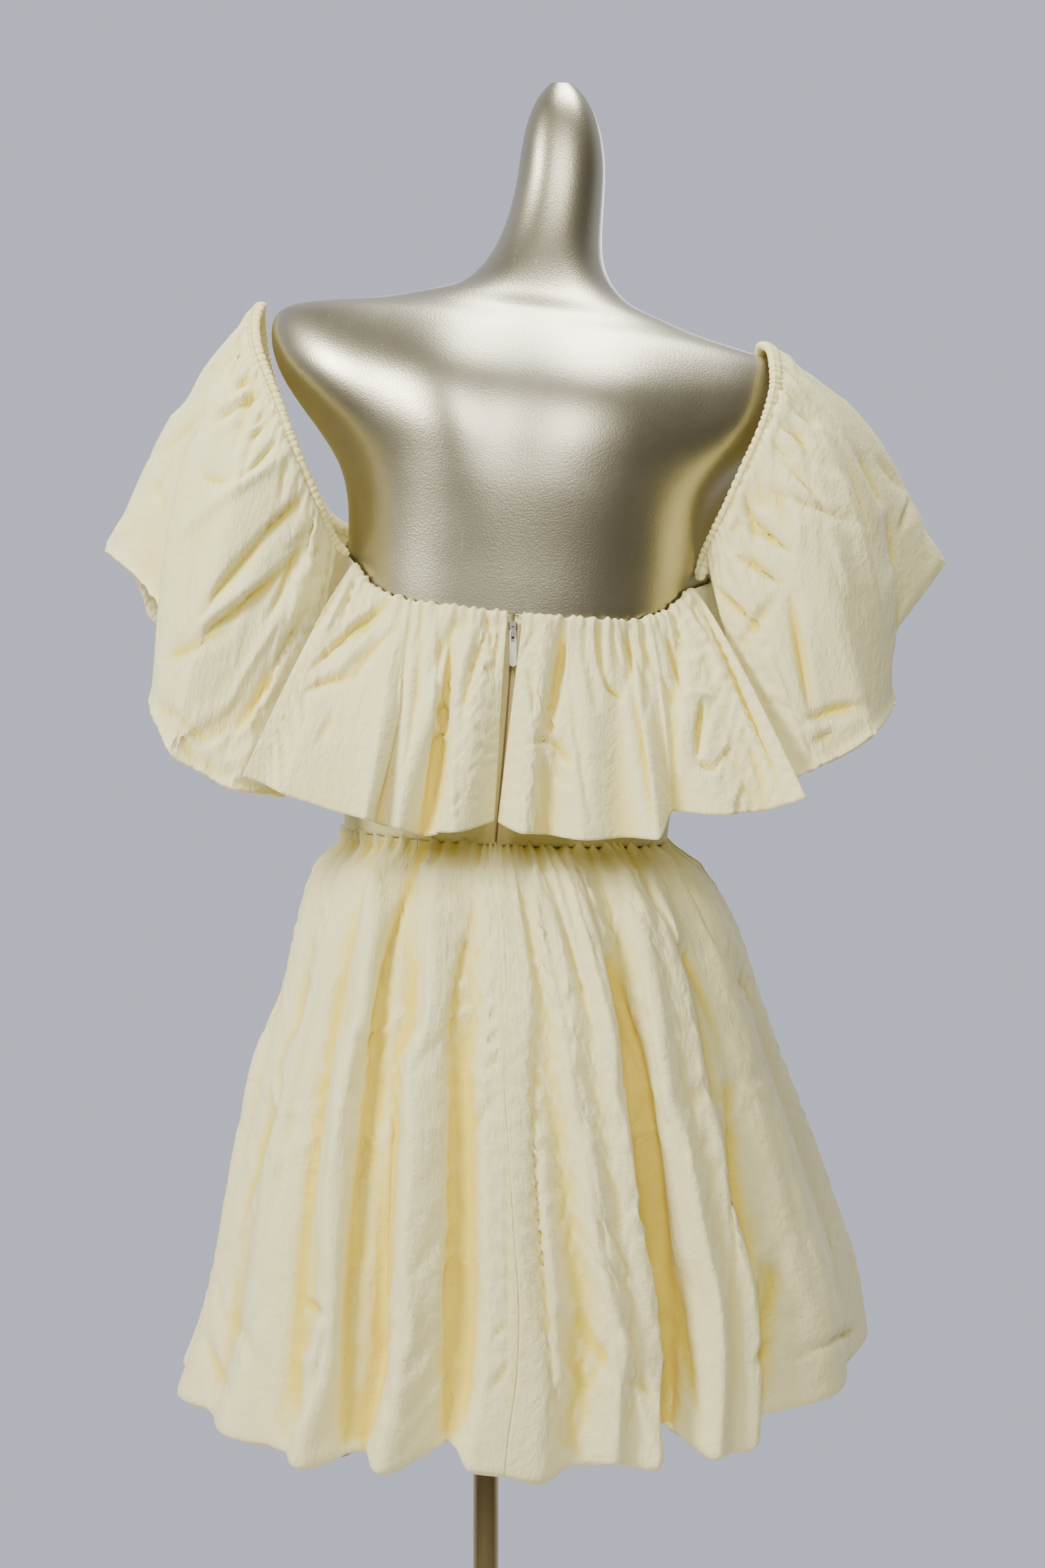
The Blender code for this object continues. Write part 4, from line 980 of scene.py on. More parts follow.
@dataclass
class Sleeve:
    """Full off-shoulder sleeve, gathered into its elastic and open below."""

    name: str
    node: str
    folds: Sequence[SleeveFold]
    elastic: Sequence[PathPoint]
    side: Side
    steps: int = 8
    rows: int = 38
    start_out: float = 0.0030
    hem_rows: Sequence[HemRow] = table(HemRow, (1.2, 0.8), (1.6, 3.0), (-1, 5.5), (-8, 7.5),
                                       (-16, 8.5))

    def grid(self) -> np.ndarray:
        """Sleeve from inside the elastic to its hem, which turns under."""
        along, x, y, z, bow = through(self.folds, SleeveFold._fields, self.steps)
        band = path_points(self.elastic, along)
        hem = np.stack([x, y, z], axis=-1) * MM
        line = unit(hem - band)
        away = unit(np.cross(np.gradient(band, axis=0), line)) * self.side.value
        top = band + unit(line + away) * self.start_out
        drops = np.linspace(0, 1, self.rows)
        grid = bowed(top, hem, drops, bow * MM, self.side)
        line = unit(hem - top)
        inwards = unit(np.cross(line, np.gradient(hem, axis=0))) * self.side.value
        under = [hem + (line * row.below + inwards * row.inside) * MM for row in self.hem_rows]
        grid = np.concatenate([grid, np.stack(under)])
        return grid[:, ::-1] if self.side is Side.WEARERS_LEFT else grid

    def panels(self) -> dict[str, tuple[np.ndarray, tuple[str, ...]]]:
        """The sleeve's grid and the node it stands for."""
        return {self.name: (self.grid(), (self.node,))}


@dataclass
class RuchedElastic:
    """Elastic casing along a sleeve's upper edge, ruched into many small uneven folds."""

    name: str
    node: str
    path: Sequence[PathPoint]
    seed: int
    half_width: float = 0.0046
    half_depth: float = 0.0030
    pitch: float = 0.0051
    swell: float = 0.24
    steps_each: int = 9
    around: int = 20
    smoothing: int = 60
    widths: tuple[float, float] = (0.6, 1.4)
    heights: tuple[float, float] = (0.6, 1.25)
    slips: tuple[float, float] = (-0.35, 0.35)
    wave_power: float = 0.7
    wave_middle: float = 0.6
    end_ruches: float = 1.5
    # Share of painted shade given to the troughs between the ruches.
    fold_shade_share: float = 0.8

    def build(self, maker: MeshMaker) -> bpy.types.Object:
        """Tube along the path whose section swells at each ruche.

        A section is an ellipse in the plane across the path. Its size is one plus swell
        times the square root of the sine's size of the ruche's phase, and the phase slips
        with the angle round the tube, so the ruches slant.

        Args:
            maker: puts the grid into a mesh.

        Returns:
            The casing.
        """
        random = np.random.default_rng(self.seed)
        dense = path_points(self.path, np.linspace(0, 1, PATH_READINGS))
        length = float(np.linalg.norm(np.diff(dense, axis=0), axis=1).sum())
        count = int(length / self.pitch)
        numbers = np.arange(count + 1.0)
        widths = random.uniform(*self.widths, count)
        edges = np.append(0.0, np.cumsum(widths)) / widths.sum()
        along = np.linspace(0, 1, count * self.steps_each + 1)
        phase = np.interp(along, edges, numbers)
        tall = np.interp(phase, numbers, random.uniform(*self.heights, count + 1))
        slip = np.interp(phase, numbers, random.uniform(*self.slips, count + 1))
        centre = path_points(self.path, along)[:, None, :].repeat(2, axis=1)
        centre = blurred(centre, self.smoothing)[:, 0]
        tangent = unit(np.gradient(centre, axis=0))
        outward = centre - centre.mean(axis=0)
        outward = unit(outward - (outward * tangent).sum(axis=1, keepdims=True) * tangent)
        across = np.cross(tangent, outward)
        angle = np.linspace(0, 2 * math.pi, self.around, endpoint=False)[None, :]
        wave = np.abs(np.sin(math.pi * (phase[:, None] + slip[:, None] * np.cos(angle))))
        wave = wave ** self.wave_power
        size = 1 + self.swell * tall[:, None] * (wave - self.wave_middle)
        from_end = np.minimum(along, 1 - along) * count / self.end_ruches
        ends = np.clip(from_end, 0, 1)[:, None] ** 0.5
        a, b = self.half_depth * size * ends, self.half_width * size * ends
        grid = (centre[:, None, :] + outward[:, None, :] * (a * np.cos(angle))[..., None]
                + across[:, None, :] * (b * np.sin(angle))[..., None])
        # Painted shade: this mask darkens the cloth's colour in the troughs between the ruches.
        masks = {"fold_shade": np.clip(1 - wave, 0, 1) * self.fold_shade_share}
        around = np.broadcast_to(angle * self.half_width, grid.shape[:2])
        run = np.broadcast_to((along * length)[:, None], grid.shape[:2])
        piece = maker.surface(self.name, grid, closed=True, measures=(around, run), masks=masks)
        maker.weld(piece, outwards=True)
        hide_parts(self.node)
        return piece


@dataclass
class Stand:
    """Round base, hub, pole and the collar under the form, turned about the stand's axis."""

    sides: int = 96
    pole: float = 0.0092
    base_rim: float = 0.0015
    hub_rim: float = 0.004
    collar_rim: float = 0.005
    bevel: float = 0.001
    flare_power: float = 2.2
    flare_start: float = 0.12

    def build(self, maker: MeshMaker) -> list[bpy.types.Object]:
        """Turned pieces with rounded edges, each inside its node's own box."""
        made = []
        for node, rim in {"stand_base": self.base_rim, "stand_hub": self.hub_rim,
                          "stand_collar": self.collar_rim, "stand_pole": 0.0}.items():
            low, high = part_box(node)
            outline = self.outline(node, high[0], low[2], high[2], rim)
            piece = maker.turned(f"{node}_turned", outline, self.sides)
            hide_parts(node)
            made.append(piece)
        return made

    def outline(self, node: str, radius: float, bottom: float, top: float,
                rim: float) -> list[tuple[float, float]]:
        """Outline from the top's middle to the bottom's, for one node."""
        bevel, neck = self.bevel, self.pole + 4 * self.bevel
        if node == "stand_base":
            round_edge = [(radius - rim + rim * math.sin(a), top - rim + rim * math.cos(a))
                          for a in np.linspace(0, math.pi / 2, 6)]
            return [(0, top), (radius * 0.5, top), *round_edge, (radius, bottom + bevel * 0.5),
                    (radius - bevel * 0.5, bottom), (0, bottom)]
        if node == "stand_hub":
            flare = [(neck + (radius - neck) * t ** self.flare_power,
                      top - (top - bottom - rim) * t)
                     for t in np.linspace(self.flare_start, 1, 12)]
            return [(0, top), (neck - bevel, top), (neck, top - bevel), *flare,
                    (radius, bottom + bevel * 0.4), (radius - bevel * 0.4, bottom), (0, bottom)]
        if node == "stand_collar":
            under = top - rim
            return [(0, top), (radius - bevel, top), (radius, top - bevel), (radius, under + bevel),
                    (radius - bevel, under), (neck + bevel, under - 3 * bevel),
                    (neck, bottom + bevel), (neck - bevel, bottom), (0, bottom)]
        return [(0, top), (radius, top), (radius, (top + bottom) * 0.5), (radius, bottom),
                (0, bottom)]


class NodeKit:
    """Short ways to add shader nodes and link them."""

    def __init__(self, tree: bpy.types.NodeTree) -> None:
        """Keep the tree that nodes go into."""
        self.tree = tree

    def add(self, kind: str, **values: object) -> bpy.types.Node:
        """New node of a kind, with its properties or input values set by name."""
        node = self.tree.nodes.new(kind)
        for name, value in values.items():
            if hasattr(node, name):
                setattr(node, name, value)
            else:
                node.inputs[name.replace("_", " ")].default_value = value
        return node

    def link(self, output: bpy.types.NodeSocket, target: bpy.types.NodeSocket) -> None:
        """Join an output to an input."""
        self.tree.links.new(output, target)

    def feed(self, sockets: Sequence[bpy.types.NodeSocket], values: Sequence[object]) -> None:
        """Give each input its value, or a link where the value is an output."""
        for socket, value in zip(sockets, values):
            if isinstance(value, bpy.types.NodeSocket):
                self.link(value, socket)
            else:
                socket.default_value = value

    def fill(self, node: bpy.types.Node, values: dict[str, object]) -> None:
        """Give a node's inputs, by their names, values or links."""
        self.feed([node.inputs[name] for name in values], list(values.values()))

    def math(self, operation: str, first: object, second: object = 0.0, third: object = 0.5,
             clamp: bool = False) -> bpy.types.NodeSocket:
        """Result of a Math node on numbers or sockets."""
        node = self.add("ShaderNodeMath", operation=operation, use_clamp=clamp)
        self.feed(node.inputs, (first, second, third))
        return node.outputs[0]

    def noise(self, vector: bpy.types.NodeSocket, scale: float, detail: float = 3.0,
              roughness: float = 0.55) -> bpy.types.NodeSocket:
        """Noise value at a vector, from 0 to 1."""
        node = self.add("ShaderNodeTexNoise", Scale=scale, Detail=detail, Roughness=roughness)
        self.link(vector, node.inputs["Vector"])
        return node.outputs["Fac"]

    def stretched(self, vector: bpy.types.NodeSocket,
                  scale: tuple[float, float, float]) -> bpy.types.NodeSocket:
        """Vector scaled by axis, for patterns that run one way."""
        node = self.add("ShaderNodeMapping")
        self.fill(node, {"Scale": scale, "Vector": vector})
        return node.outputs["Vector"]

    def blend_colours(self, share: bpy.types.NodeSocket, first: Sequence[float],
                      second: Sequence[float]) -> bpy.types.NodeSocket:
        """Colour between two colours."""
        node = self.add("ShaderNodeMix", data_type="RGBA")
        self.link(share, node.inputs["Factor"])
        colours = [socket for socket in node.inputs if socket.type == "RGBA"]
        self.feed(colours, ((*first, 1.0), (*second, 1.0)))
        return next(socket for socket in node.outputs if socket.type == "RGBA")

    def ramp(self, value: bpy.types.NodeSocket, low: float, high: float) -> bpy.types.NodeSocket:
        """Value mapped smoothly from 0 at low to 1 at high."""
        node = self.add("ShaderNodeMapRange", interpolation_type="SMOOTHSTEP")
        self.fill(node, {"From Min": low, "From Max": high, "Value": value})
        return node.outputs["Result"]

    def bump(self, height: bpy.types.NodeSocket, distance: float, strength: float,
             **links: bpy.types.NodeSocket) -> bpy.types.NodeSocket:
        """Normal of a bump of a height."""
        node = self.add("ShaderNodeBump")
        self.fill(node, {"Distance": distance, "Strength": strength, "Height": height, **links})
        return node.outputs["Normal"]


def principled(name: str) -> tuple[bpy.types.Material, NodeKit, bpy.types.Node]:
    """New material, a node kit for it and its principled shader."""
    material = bpy.data.materials.new(name)
    material.use_nodes = True
    kit = NodeKit(material.node_tree)
    return material, kit, kit.tree.nodes["Principled BSDF"]


def new_group(name: str, inputs: dict[str, str],
              outputs: dict[str, str]) -> tuple[NodeKit, bpy.types.Node, bpy.types.Node]:
    """Empty shader node group with named sockets.

    Args:
        name: the group's name.
        inputs: names and socket types going in.
        outputs: names and socket types coming out.

    Returns:
        A node kit for the group, its input node and its output node.
    """
    tree = bpy.data.node_groups.new(name, "ShaderNodeTree")
    for way, sockets in (("INPUT", inputs), ("OUTPUT", outputs)):
        for socket_name, kind in sockets.items():
            tree.interface.new_socket(name=socket_name, in_out=way, socket_type=kind)
    kit = NodeKit(tree)
    return kit, kit.add("NodeGroupInput"), kit.add("NodeGroupOutput")


@dataclass(frozen=True)
class Pattern:
    """Noise on a place in metres: its scale, its detail and its stretch by axis."""

    scale: float
    detail: float
    stretch: tuple[float, float, float] = (1.0, 1.0, 1.0)

    def on(self, kit: NodeKit, place: bpy.types.NodeSocket) -> bpy.types.NodeSocket:
        """The pattern's value at a place."""
        if self.stretch != (1.0, 1.0, 1.0):
            place = kit.stretched(place, self.stretch)
        return kit.noise(place, self.scale, self.detail)


SLUBS = Pattern(900.0, 2.0, (1.0, 0.06, 1.0))
SLUBS_ACROSS = Pattern(900.0, 2.0, (0.06, 1.0, 1.0))
LONG_CREASES = Pattern(120.0, 3.0, (1.0, 0.22, 1.0))
MOTTLE = Pattern(14.0, 3.0)
SMEARS = Pattern(9.0, 4.0)
SCRATCHES = Pattern(260.0, 2.0, (1.0, 1.0, 0.12))
CRUMPLE_NOISE = (55.0, 4.0, 0.6)
THREAD_SHARES = (0.35, 0.6, 0.4)
CREASE_SHARE = 0.6
SMEAR_RAMP = (0.35, 0.75)
SCRATCH_RAMP = (0.68, 0.8)
FLOAT, VECTOR = "NodeSocketFloat", "NodeSocketVector"


class SharedEffects:
    """Node groups that several finishes use, each built once."""

    def __init__(self) -> None:
        """Build every group."""
        self.weave = self.make_weave()
        self.handling = self.make_handling()

    @staticmethod
    def make_weave() -> bpy.types.NodeTree:
        """Plain weave on a UV map in metres: threads over and under, slubs and soft rumples.

        Returns:
            The group. It puts out a thread height, a rumple height and a mottle mask.
        """
        kit, source, result = new_group("plain_weave", {"UV": VECTOR, "Pitch": FLOAT},
                                        {"Threads": FLOAT, "Rumple": FLOAT, "Mottle": FLOAT})
        place = source.outputs["UV"]
        split = kit.add("ShaderNodeSeparateXYZ")
        kit.link(place, split.inputs[0])
        turns = kit.math("DIVIDE", math.pi, source.outputs["Pitch"])
        warp = kit.math("SINE", kit.math("MULTIPLY", split.outputs["X"], turns))
        weft = kit.math("SINE", kit.math("MULTIPLY", split.outputs["Y"], turns))
        heights = (kit.math("MULTIPLY", warp, weft), SLUBS.on(kit, place),
                   SLUBS_ACROSS.on(kit, place))
        over, slubs, slubs_across = (kit.math("MULTIPLY", height, share)
                                     for height, share in zip(heights, THREAD_SHARES))
        threads = kit.math("ADD", over, kit.math("ADD", slubs, slubs_across))
        noises = (kit.noise(place, *CRUMPLE_NOISE), LONG_CREASES.on(kit, place))
        crumple, creases = (kit.math("ABSOLUTE", kit.math("SUBTRACT", noise, 0.5))
                            for noise in noises)
        rumple = kit.math("ADD", crumple, kit.math("MULTIPLY", creases, CREASE_SHARE))
        kit.fill(result, {"Threads": threads, "Rumple": rumple, "Mottle": MOTTLE.on(kit, place)})
        return kit.tree

    @staticmethod
    def make_handling() -> bpy.types.NodeTree:
        """Marks of handling on a hard surface: cloudy smears, fine scratches and a fine grain.

        Returns:
            The group. It puts out a smear mask, a scratch mask and a height.
        """
        kit, source, result = new_group("handling_marks", {"Place": VECTOR, "Grain": FLOAT},
                                        {"Smear": FLOAT, "Scratch": FLOAT, "Height": FLOAT})
        place = source.outputs["Place"]
        grain = kit.add("ShaderNodeTexNoise", Detail=1.0)
        kit.fill(grain, {"Vector": place, "Scale": source.outputs["Grain"]})
        kit.fill(result, {"Smear": kit.ramp(SMEARS.on(kit, place), *SMEAR_RAMP),
                          "Scratch": kit.ramp(SCRATCHES.on(kit, place), *SCRATCH_RAMP),
                          "Height": grain.outputs["Fac"]})
        return kit.tree


@dataclass(frozen=True)
class ClothFinish:
    """Woven cloth: its lit colour, its painted shade colour for the folds and creases, and its
    thread.
    """

    slot: str
    light: tuple[float, float, float]
    shade_colour: tuple[float, float, float]
    roughness: float
    sheen: float
    pitch: float
    thread_height: float
    rumple_height: float
    thread_strength: float = 0.7
    rumple_strength: float = 0.8
    mottle_share: float = 0.35
    sheen_roughness: float = 0.5
    specular: float = 0.25

    def material(self, effects: SharedEffects) -> bpy.types.Material:
        """Principled cloth whose colour is blended towards its painted shade colour by a painted
        shade mask of folds and creases.

        Args:
            effects: the shared node groups.

        Returns:
            The material.
        """
        material, kit, shader = principled(f"{self.slot}_cloth")
        place = kit.add("ShaderNodeUVMap", uv_map="Cloth")
        weave = kit.add("ShaderNodeGroup", node_tree=effects.weave)
        kit.fill(weave, {"UV": place.outputs["UV"], "Pitch": self.pitch})
        # Painted shade: this attribute says how far in the folds and creases each point lies, and
        # darkens the colour there.
        fold_shade = kit.add("ShaderNodeAttribute", attribute_name="fold_shade")
        mottle = kit.math("SUBTRACT", weave.outputs["Mottle"], 0.5)
        mottle = kit.math("MULTIPLY", mottle, self.mottle_share)
        share = kit.math("ADD", fold_shade.outputs["Fac"], mottle, clamp=True)
        rumple = kit.bump(weave.outputs["Rumple"], self.rumple_height, self.rumple_strength)
        normal = kit.bump(weave.outputs["Threads"], self.thread_height, self.thread_strength,
                          Normal=rumple)
        # Base colour mixes the lit colour with the painted shade colour; the mottle adds random
        # tone.
        kit.fill(shader, {"Base Color": kit.blend_colours(share, self.light, self.shade_colour),
                          "Roughness": self.roughness, "Sheen Weight": self.sheen,
                          "Sheen Roughness": self.sheen_roughness,
                          "Specular IOR Level": self.specular, "Normal": normal})
        return material


@dataclass(frozen=True)
class HardFinish:
    """Metal or enamel: its colour, the tone of its smears, and how smooth it is."""

    slot: str
    colour: tuple[float, float, float]
    smear: tuple[float, float, float]
    roughness: float
    smeared_roughness: float
    metallic: float
    coat: float
    grain: float
    grain_height: float
    grain_strength: float = 0.5
    scratch_roughness: float = 0.08
    coat_roughness: float = 0.15

    def material(self, effects: SharedEffects) -> bpy.types.Material:
        """Principled metal or enamel with handling marks in colour, gloss and bump.

        Args:
            effects: the shared node groups.

        Returns:
            The material.
        """
        material, kit, shader = principled(f"{self.slot}_hard")
        place = kit.add("ShaderNodeTexCoord")
        marks = kit.add("ShaderNodeGroup", node_tree=effects.handling)
        kit.fill(marks, {"Place": place.outputs["Object"], "Grain": self.grain})
        smear = marks.outputs["Smear"]
        spread = self.smeared_roughness - self.roughness
        gloss = kit.math("MULTIPLY_ADD", smear, spread, self.roughness)
        scratched = kit.math("MULTIPLY", marks.outputs["Scratch"], self.scratch_roughness)
        normal = kit.bump(marks.outputs["Height"], self.grain_height, self.grain_strength)
        kit.fill(shader, {"Base Color": kit.blend_colours(smear, self.colour, self.smear),
                          "Roughness": kit.math("ADD", gloss, scratched),
                          "Metallic": self.metallic, "Coat Weight": self.coat,
                          "Coat Roughness": self.coat_roughness, "Normal": normal})
        return material


# Each cloth's second colour is painted shade, laid into its folds and creases by the shade mask.
POPLIN = ClothFinish("yellow_poplin", (0.90, 0.83, 0.43), (0.84, 0.66, 0.10), 0.8, 0.15,
                     0.00035, 0.00008, 0.0034)
TAPE = ClothFinish("zip_tape", (0.30, 0.20, 0.10), (0.14, 0.08, 0.03), 0.85, 0.1,
                   0.0008, 0.0002, 0.0002)
SATIN_GOLD = HardFinish("satin_gold", (0.46, 0.42, 0.30), (0.50, 0.46, 0.34), 0.34, 0.40,
                        1.0, 0.0, 750.0, 0.00022)
STAND_METAL = HardFinish("stand_metal", (0.44, 0.33, 0.15), (0.36, 0.27, 0.12), 0.20, 0.30,
                         1.0, 0.2, 500.0, 0.00003)
ZIP_METAL = HardFinish("zip_metal", (0.30, 0.28, 0.24), (0.20, 0.18, 0.15), 0.22, 0.34,
                       1.0, 0.0, 2500.0, 0.00002)
ENAMEL = HardFinish("ivory_enamel", (0.68, 0.66, 0.58), (0.62, 0.59, 0.50), 0.28, 0.36,
                    0.0, 0.5, 2500.0, 0.00002)


class ClothCut(NamedTuple):
    """Flat size a piece of cloth was cut to, in metres, and how it is held."""

    width: float
    length: float
    held: str
    rests_on: tuple[str, ...]
    area: Optional[float] = None
    with_pieces: tuple[str, ...] = ()


@dataclass
class ClothDresser:
    """Turns the settled grids into finished cloth pieces."""

    maker: MeshMaker
    thickness: float = 0.0008
    times: int = 2
    # The fold and crease reaches, depths and weights below set the painted shade mask.
    fold_reach: int = 140
    fold_depth: float = 0.011
    crease_reach: int = 14
    crease_depth: float = 0.0024
    fold_weight: float = 0.85
    crease_weight: float = 0.55
    # Painted shade given even to the crests.
    fold_shade_start: float = 0.08
    clear_of: Optional[bpy.types.Object] = None
    clearance: float = 0.0016

    def fold_shade(self, grid: np.ndarray) -> np.ndarray:
        """Painted shade share of each point, by how far in it lies within folds and creases, from 0
        on a crest to 1.

        A depth is the distance from the point out to the blurred surface, along its normal.
        The large folds and the fine creases are measured each with its own blur, and both
        count as shares of their full depths.
        """
        total = np.zeros(grid.shape[:2])
        for reach, full, weight in (
                (self.fold_reach, self.fold_depth, self.fold_weight),
                (self.crease_reach, self.crease_depth, self.crease_weight)):
            wide = blurred(grid, reach)
            total += weight * ((wide - grid) * grid_normals(wide)).sum(axis=-1) / full
        return np.clip(total + self.fold_shade_start, 0, 1)

    def finish(self, name: str, grid: np.ndarray, nodes: tuple[str, ...],
               relief: Optional[Callable[[np.ndarray], np.ndarray]]) -> bpy.types.Object:
        """Finer grid with its creases, as a thin cloth shell that stands for its nodes.

        Args:
            name: the piece's name.
            grid: its settled points.
            nodes: the CAD nodes that it replaces.
            relief: gives the outward height of the fine folds on a grid.

        Returns:
            The finished piece.
        """
        grid = finer(grid, self.times)
        if relief is not None:
            grid = grid + grid_normals(grid) * relief(grid)[..., None]
        # Painted shade mask of folds and creases, kept on the cloth for its material.
        piece = self.maker.surface(name, grid, measures=run_lengths(grid),
                                   masks={"fold_shade": self.fold_shade(grid)})
        self.keep_clear(piece)
        wall = piece.modifiers.new("Cloth thickness", "SOLIDIFY")
        wall.thickness = self.thickness
        wall.offset = -1
        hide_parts(*nodes)
        return piece

    def keep_clear(self, piece: bpy.types.Object) -> None:
        """Move the points that lie inside the form, or too near it, to just outside it."""
        if self.clear_of is None:
            return
        wrap = piece.modifiers.new("Clear of the form", "SHRINKWRAP")
        wrap.target = self.clear_of
        wrap.wrap_method, wrap.wrap_mode = "NEAREST_SURFACEPOINT", "OUTSIDE"
        wrap.offset = self.clearance
        graph = bpy.context.evaluated_depsgraph_get()
        moved = bpy.data.meshes.new_from_object(piece.evaluated_get(graph), depsgraph=graph,
                                                preserve_all_data_layers=True)
        piece.modifiers.remove(wrap)
        piece.data = moved


class Lamp(NamedTuple):
    """Soft rectangular light: its centre, the point it faces, its size in metres, its watts."""

    name: str
    place: tuple[float, float, float]
    target: tuple[float, float, float]
    size: tuple[float, float]
    power: float
    colour: tuple[float, float, float]


LAMPS = table(Lamp,
              ("window", (0.05, -2.9, 2.45), (0.03, 0.0, 1.15), (1.1, 1.7), 66.0,
               (1.0, 0.99, 0.97)),
              ("key", (-1.7, -1.3, 2.2), (0.05, 0.0, 1.1), (0.7, 1.0), 78.0, (1.0, 0.985, 0.96)),
              ("top", (0.3, 0.0, 2.9), (0.05, 0.0, 1.2), (0.8, 0.6), 30.0, (1.0, 1.0, 1.0)),
              ("front", (0.5, 2.4, 1.7), (0.05, 0.0, 1.1), (1.5, 1.5), 34.0, (1.0, 0.98, 0.95)))


@dataclass
class Studio:
    """Pale floor, soft lights, pale surroundings and the camera."""

    sensor_mm: float = 36.0
    floor_radius: float = 1.3
    surround: tuple[float, float, float] = (0.60, 0.62, 0.74)
    room: tuple[float, float, float] = (0.125, 0.12, 0.095)
    surround_strength: float = 1.0
    room_ends: float = -0.25
    surround_starts: float = 0.55
    floor_sides: int = 96
    floor_top: float = -0.0005
    floor_pale: tuple[float, float, float] = (0.76, 0.76, 0.77)
    floor_dull: tuple[float, float, float] = (0.70, 0.70, 0.72)
    floor_pattern: float = 3.0
    floor_roughness: float = 0.7

    def build(self, maker: MeshMaker) -> None:
        """Make the floor, the lights, the world and the camera."""
        self.make_floor(maker)
        self.make_world()
        for lamp in LAMPS:
            self.area_light(lamp)
        self.make_camera()

    def make_floor(self, maker: MeshMaker) -> None:
        """Pale round floor just under the base, a little uneven in tone."""
        turns = np.linspace(0, 2 * math.pi, self.floor_sides + 1)[:-1]
        radii = np.array([self.floor_radius, self.floor_radius * 0.5, 0.02, 0.0])[:, None]
        height = np.full((len(radii), self.floor_sides), self.floor_top)
        grid = np.stack([radii * np.cos(turns), radii * np.sin(turns), height], axis=-1)
        floor = maker.surface("studio_floor", grid[::-1], closed=True)
        maker.weld(floor)
        material, kit, shader = principled("studio_floor")
        place = kit.add("ShaderNodeTexCoord")
        tone = kit.noise(place.outputs["Object"], self.floor_pattern)
        kit.fill(shader, {"Base Color": kit.blend_colours(tone, self.floor_dull, self.floor_pale),
                          "Roughness": self.floor_roughness})
        floor.data.materials.append(material)

    def make_world(self) -> None:
        """Pale lavender surroundings before the camera that darken into a room behind it."""
        world = bpy.data.worlds.new("studio")
        world.use_nodes = True
        kit = NodeKit(world.node_tree)
        background = kit.tree.nodes["Background"]
        way = kit.add("ShaderNodeTexCoord")
        split = kit.add("ShaderNodeSeparateXYZ")
        kit.link(way.outputs["Generated"], split.inputs[0])
        share = kit.ramp(split.outputs["Y"], self.room_ends, self.surround_starts)
        kit.fill(background, {"Color": kit.blend_colours(share, self.room, self.surround),
                              "Strength": self.surround_strength})
        bpy.context.scene.world = world

    @staticmethod
    def area_light(lamp: Lamp) -> None:
        """Put a light in its place."""
        light = bpy.data.lights.new(lamp.name, "AREA")
        light.shape = "RECTANGLE"
        light.energy, light.color = lamp.power, lamp.colour
        light.size, light.size_y = lamp.size
        holder = bpy.data.objects.new(lamp.name, light)
        holder.location = lamp.place
        direction = Vector(lamp.target) - Vector(lamp.place)
        holder.rotation_euler = direction.to_track_quat("-Z", "Y").to_euler()
        bpy.context.scene.collection.objects.link(holder)

    def make_camera(self) -> None:
        """Level camera behind the garment, with the photograph's field of view."""
        data = bpy.data.cameras.new("camera")
        data.sensor_fit = "VERTICAL"
        data.sensor_height = self.sensor_mm
        data.lens = FOCAL_PX / PICTURE_PX[1] * self.sensor_mm
        camera = bpy.data.objects.new("camera", data)
        camera.location = CAMERA_PLACE
        camera.rotation_euler = (math.pi / 2, 0.0, 0.0)
        bpy.context.scene.collection.objects.link(camera)
        bpy.context.scene.camera = camera


class Give(NamedTuple):
    """How much one kind of panel may crumple while it settles.

    Inner and hem_hold are the holds of the open cloth and of the turned hem, from 0 to 1.
    Top_rows stay put at the seam, hem_rows are the hem's, and edge_columns is how many
    columns it takes the hold to fall off from a side seam.
    """

    inner: float
    top_rows: int
    hem_rows: int
    edge_columns: int
    hem_hold: float
    growth: float


GIVES = {"skirt": Give(0.25, 2, 4, 8, 0.5, 0.010), "flounce": Give(0.12, 2, 0, 7, 0.5, 0.02),
         "sleeve": Give(0.08, 2, 6, 5, 0.85, 0.028)}


def hold_map(grid: np.ndarray, give: Give) -> np.ndarray:
    """How firmly each point of a grid stays while it settles, from 0 to 1."""
    columns = np.arange(grid.shape[1])
    inwards = np.minimum(columns, columns[::-1]) / give.edge_columns
    hold = give.inner + (1 - give.inner) * np.exp(-inwards ** 1.5)
    hold = np.broadcast_to(hold, grid.shape[:2]).copy()
    if give.hem_rows:
        hold[-give.hem_rows:] = np.maximum(hold[-give.hem_rows:], give.hem_hold)
    hold[:give.top_rows] = 1.0
    return hold


class TopEdge(NamedTuple):
    """Gathers below the upper edge of a flounce or sleeve, in metres."""

    pitch: float
    height: float
    reach: float


TOP_EDGES = {"flounce": TopEdge(0.0090, 0.0022, 0.035), "sleeve": TopEdge(0.0062, 0.0022, 0.020)}


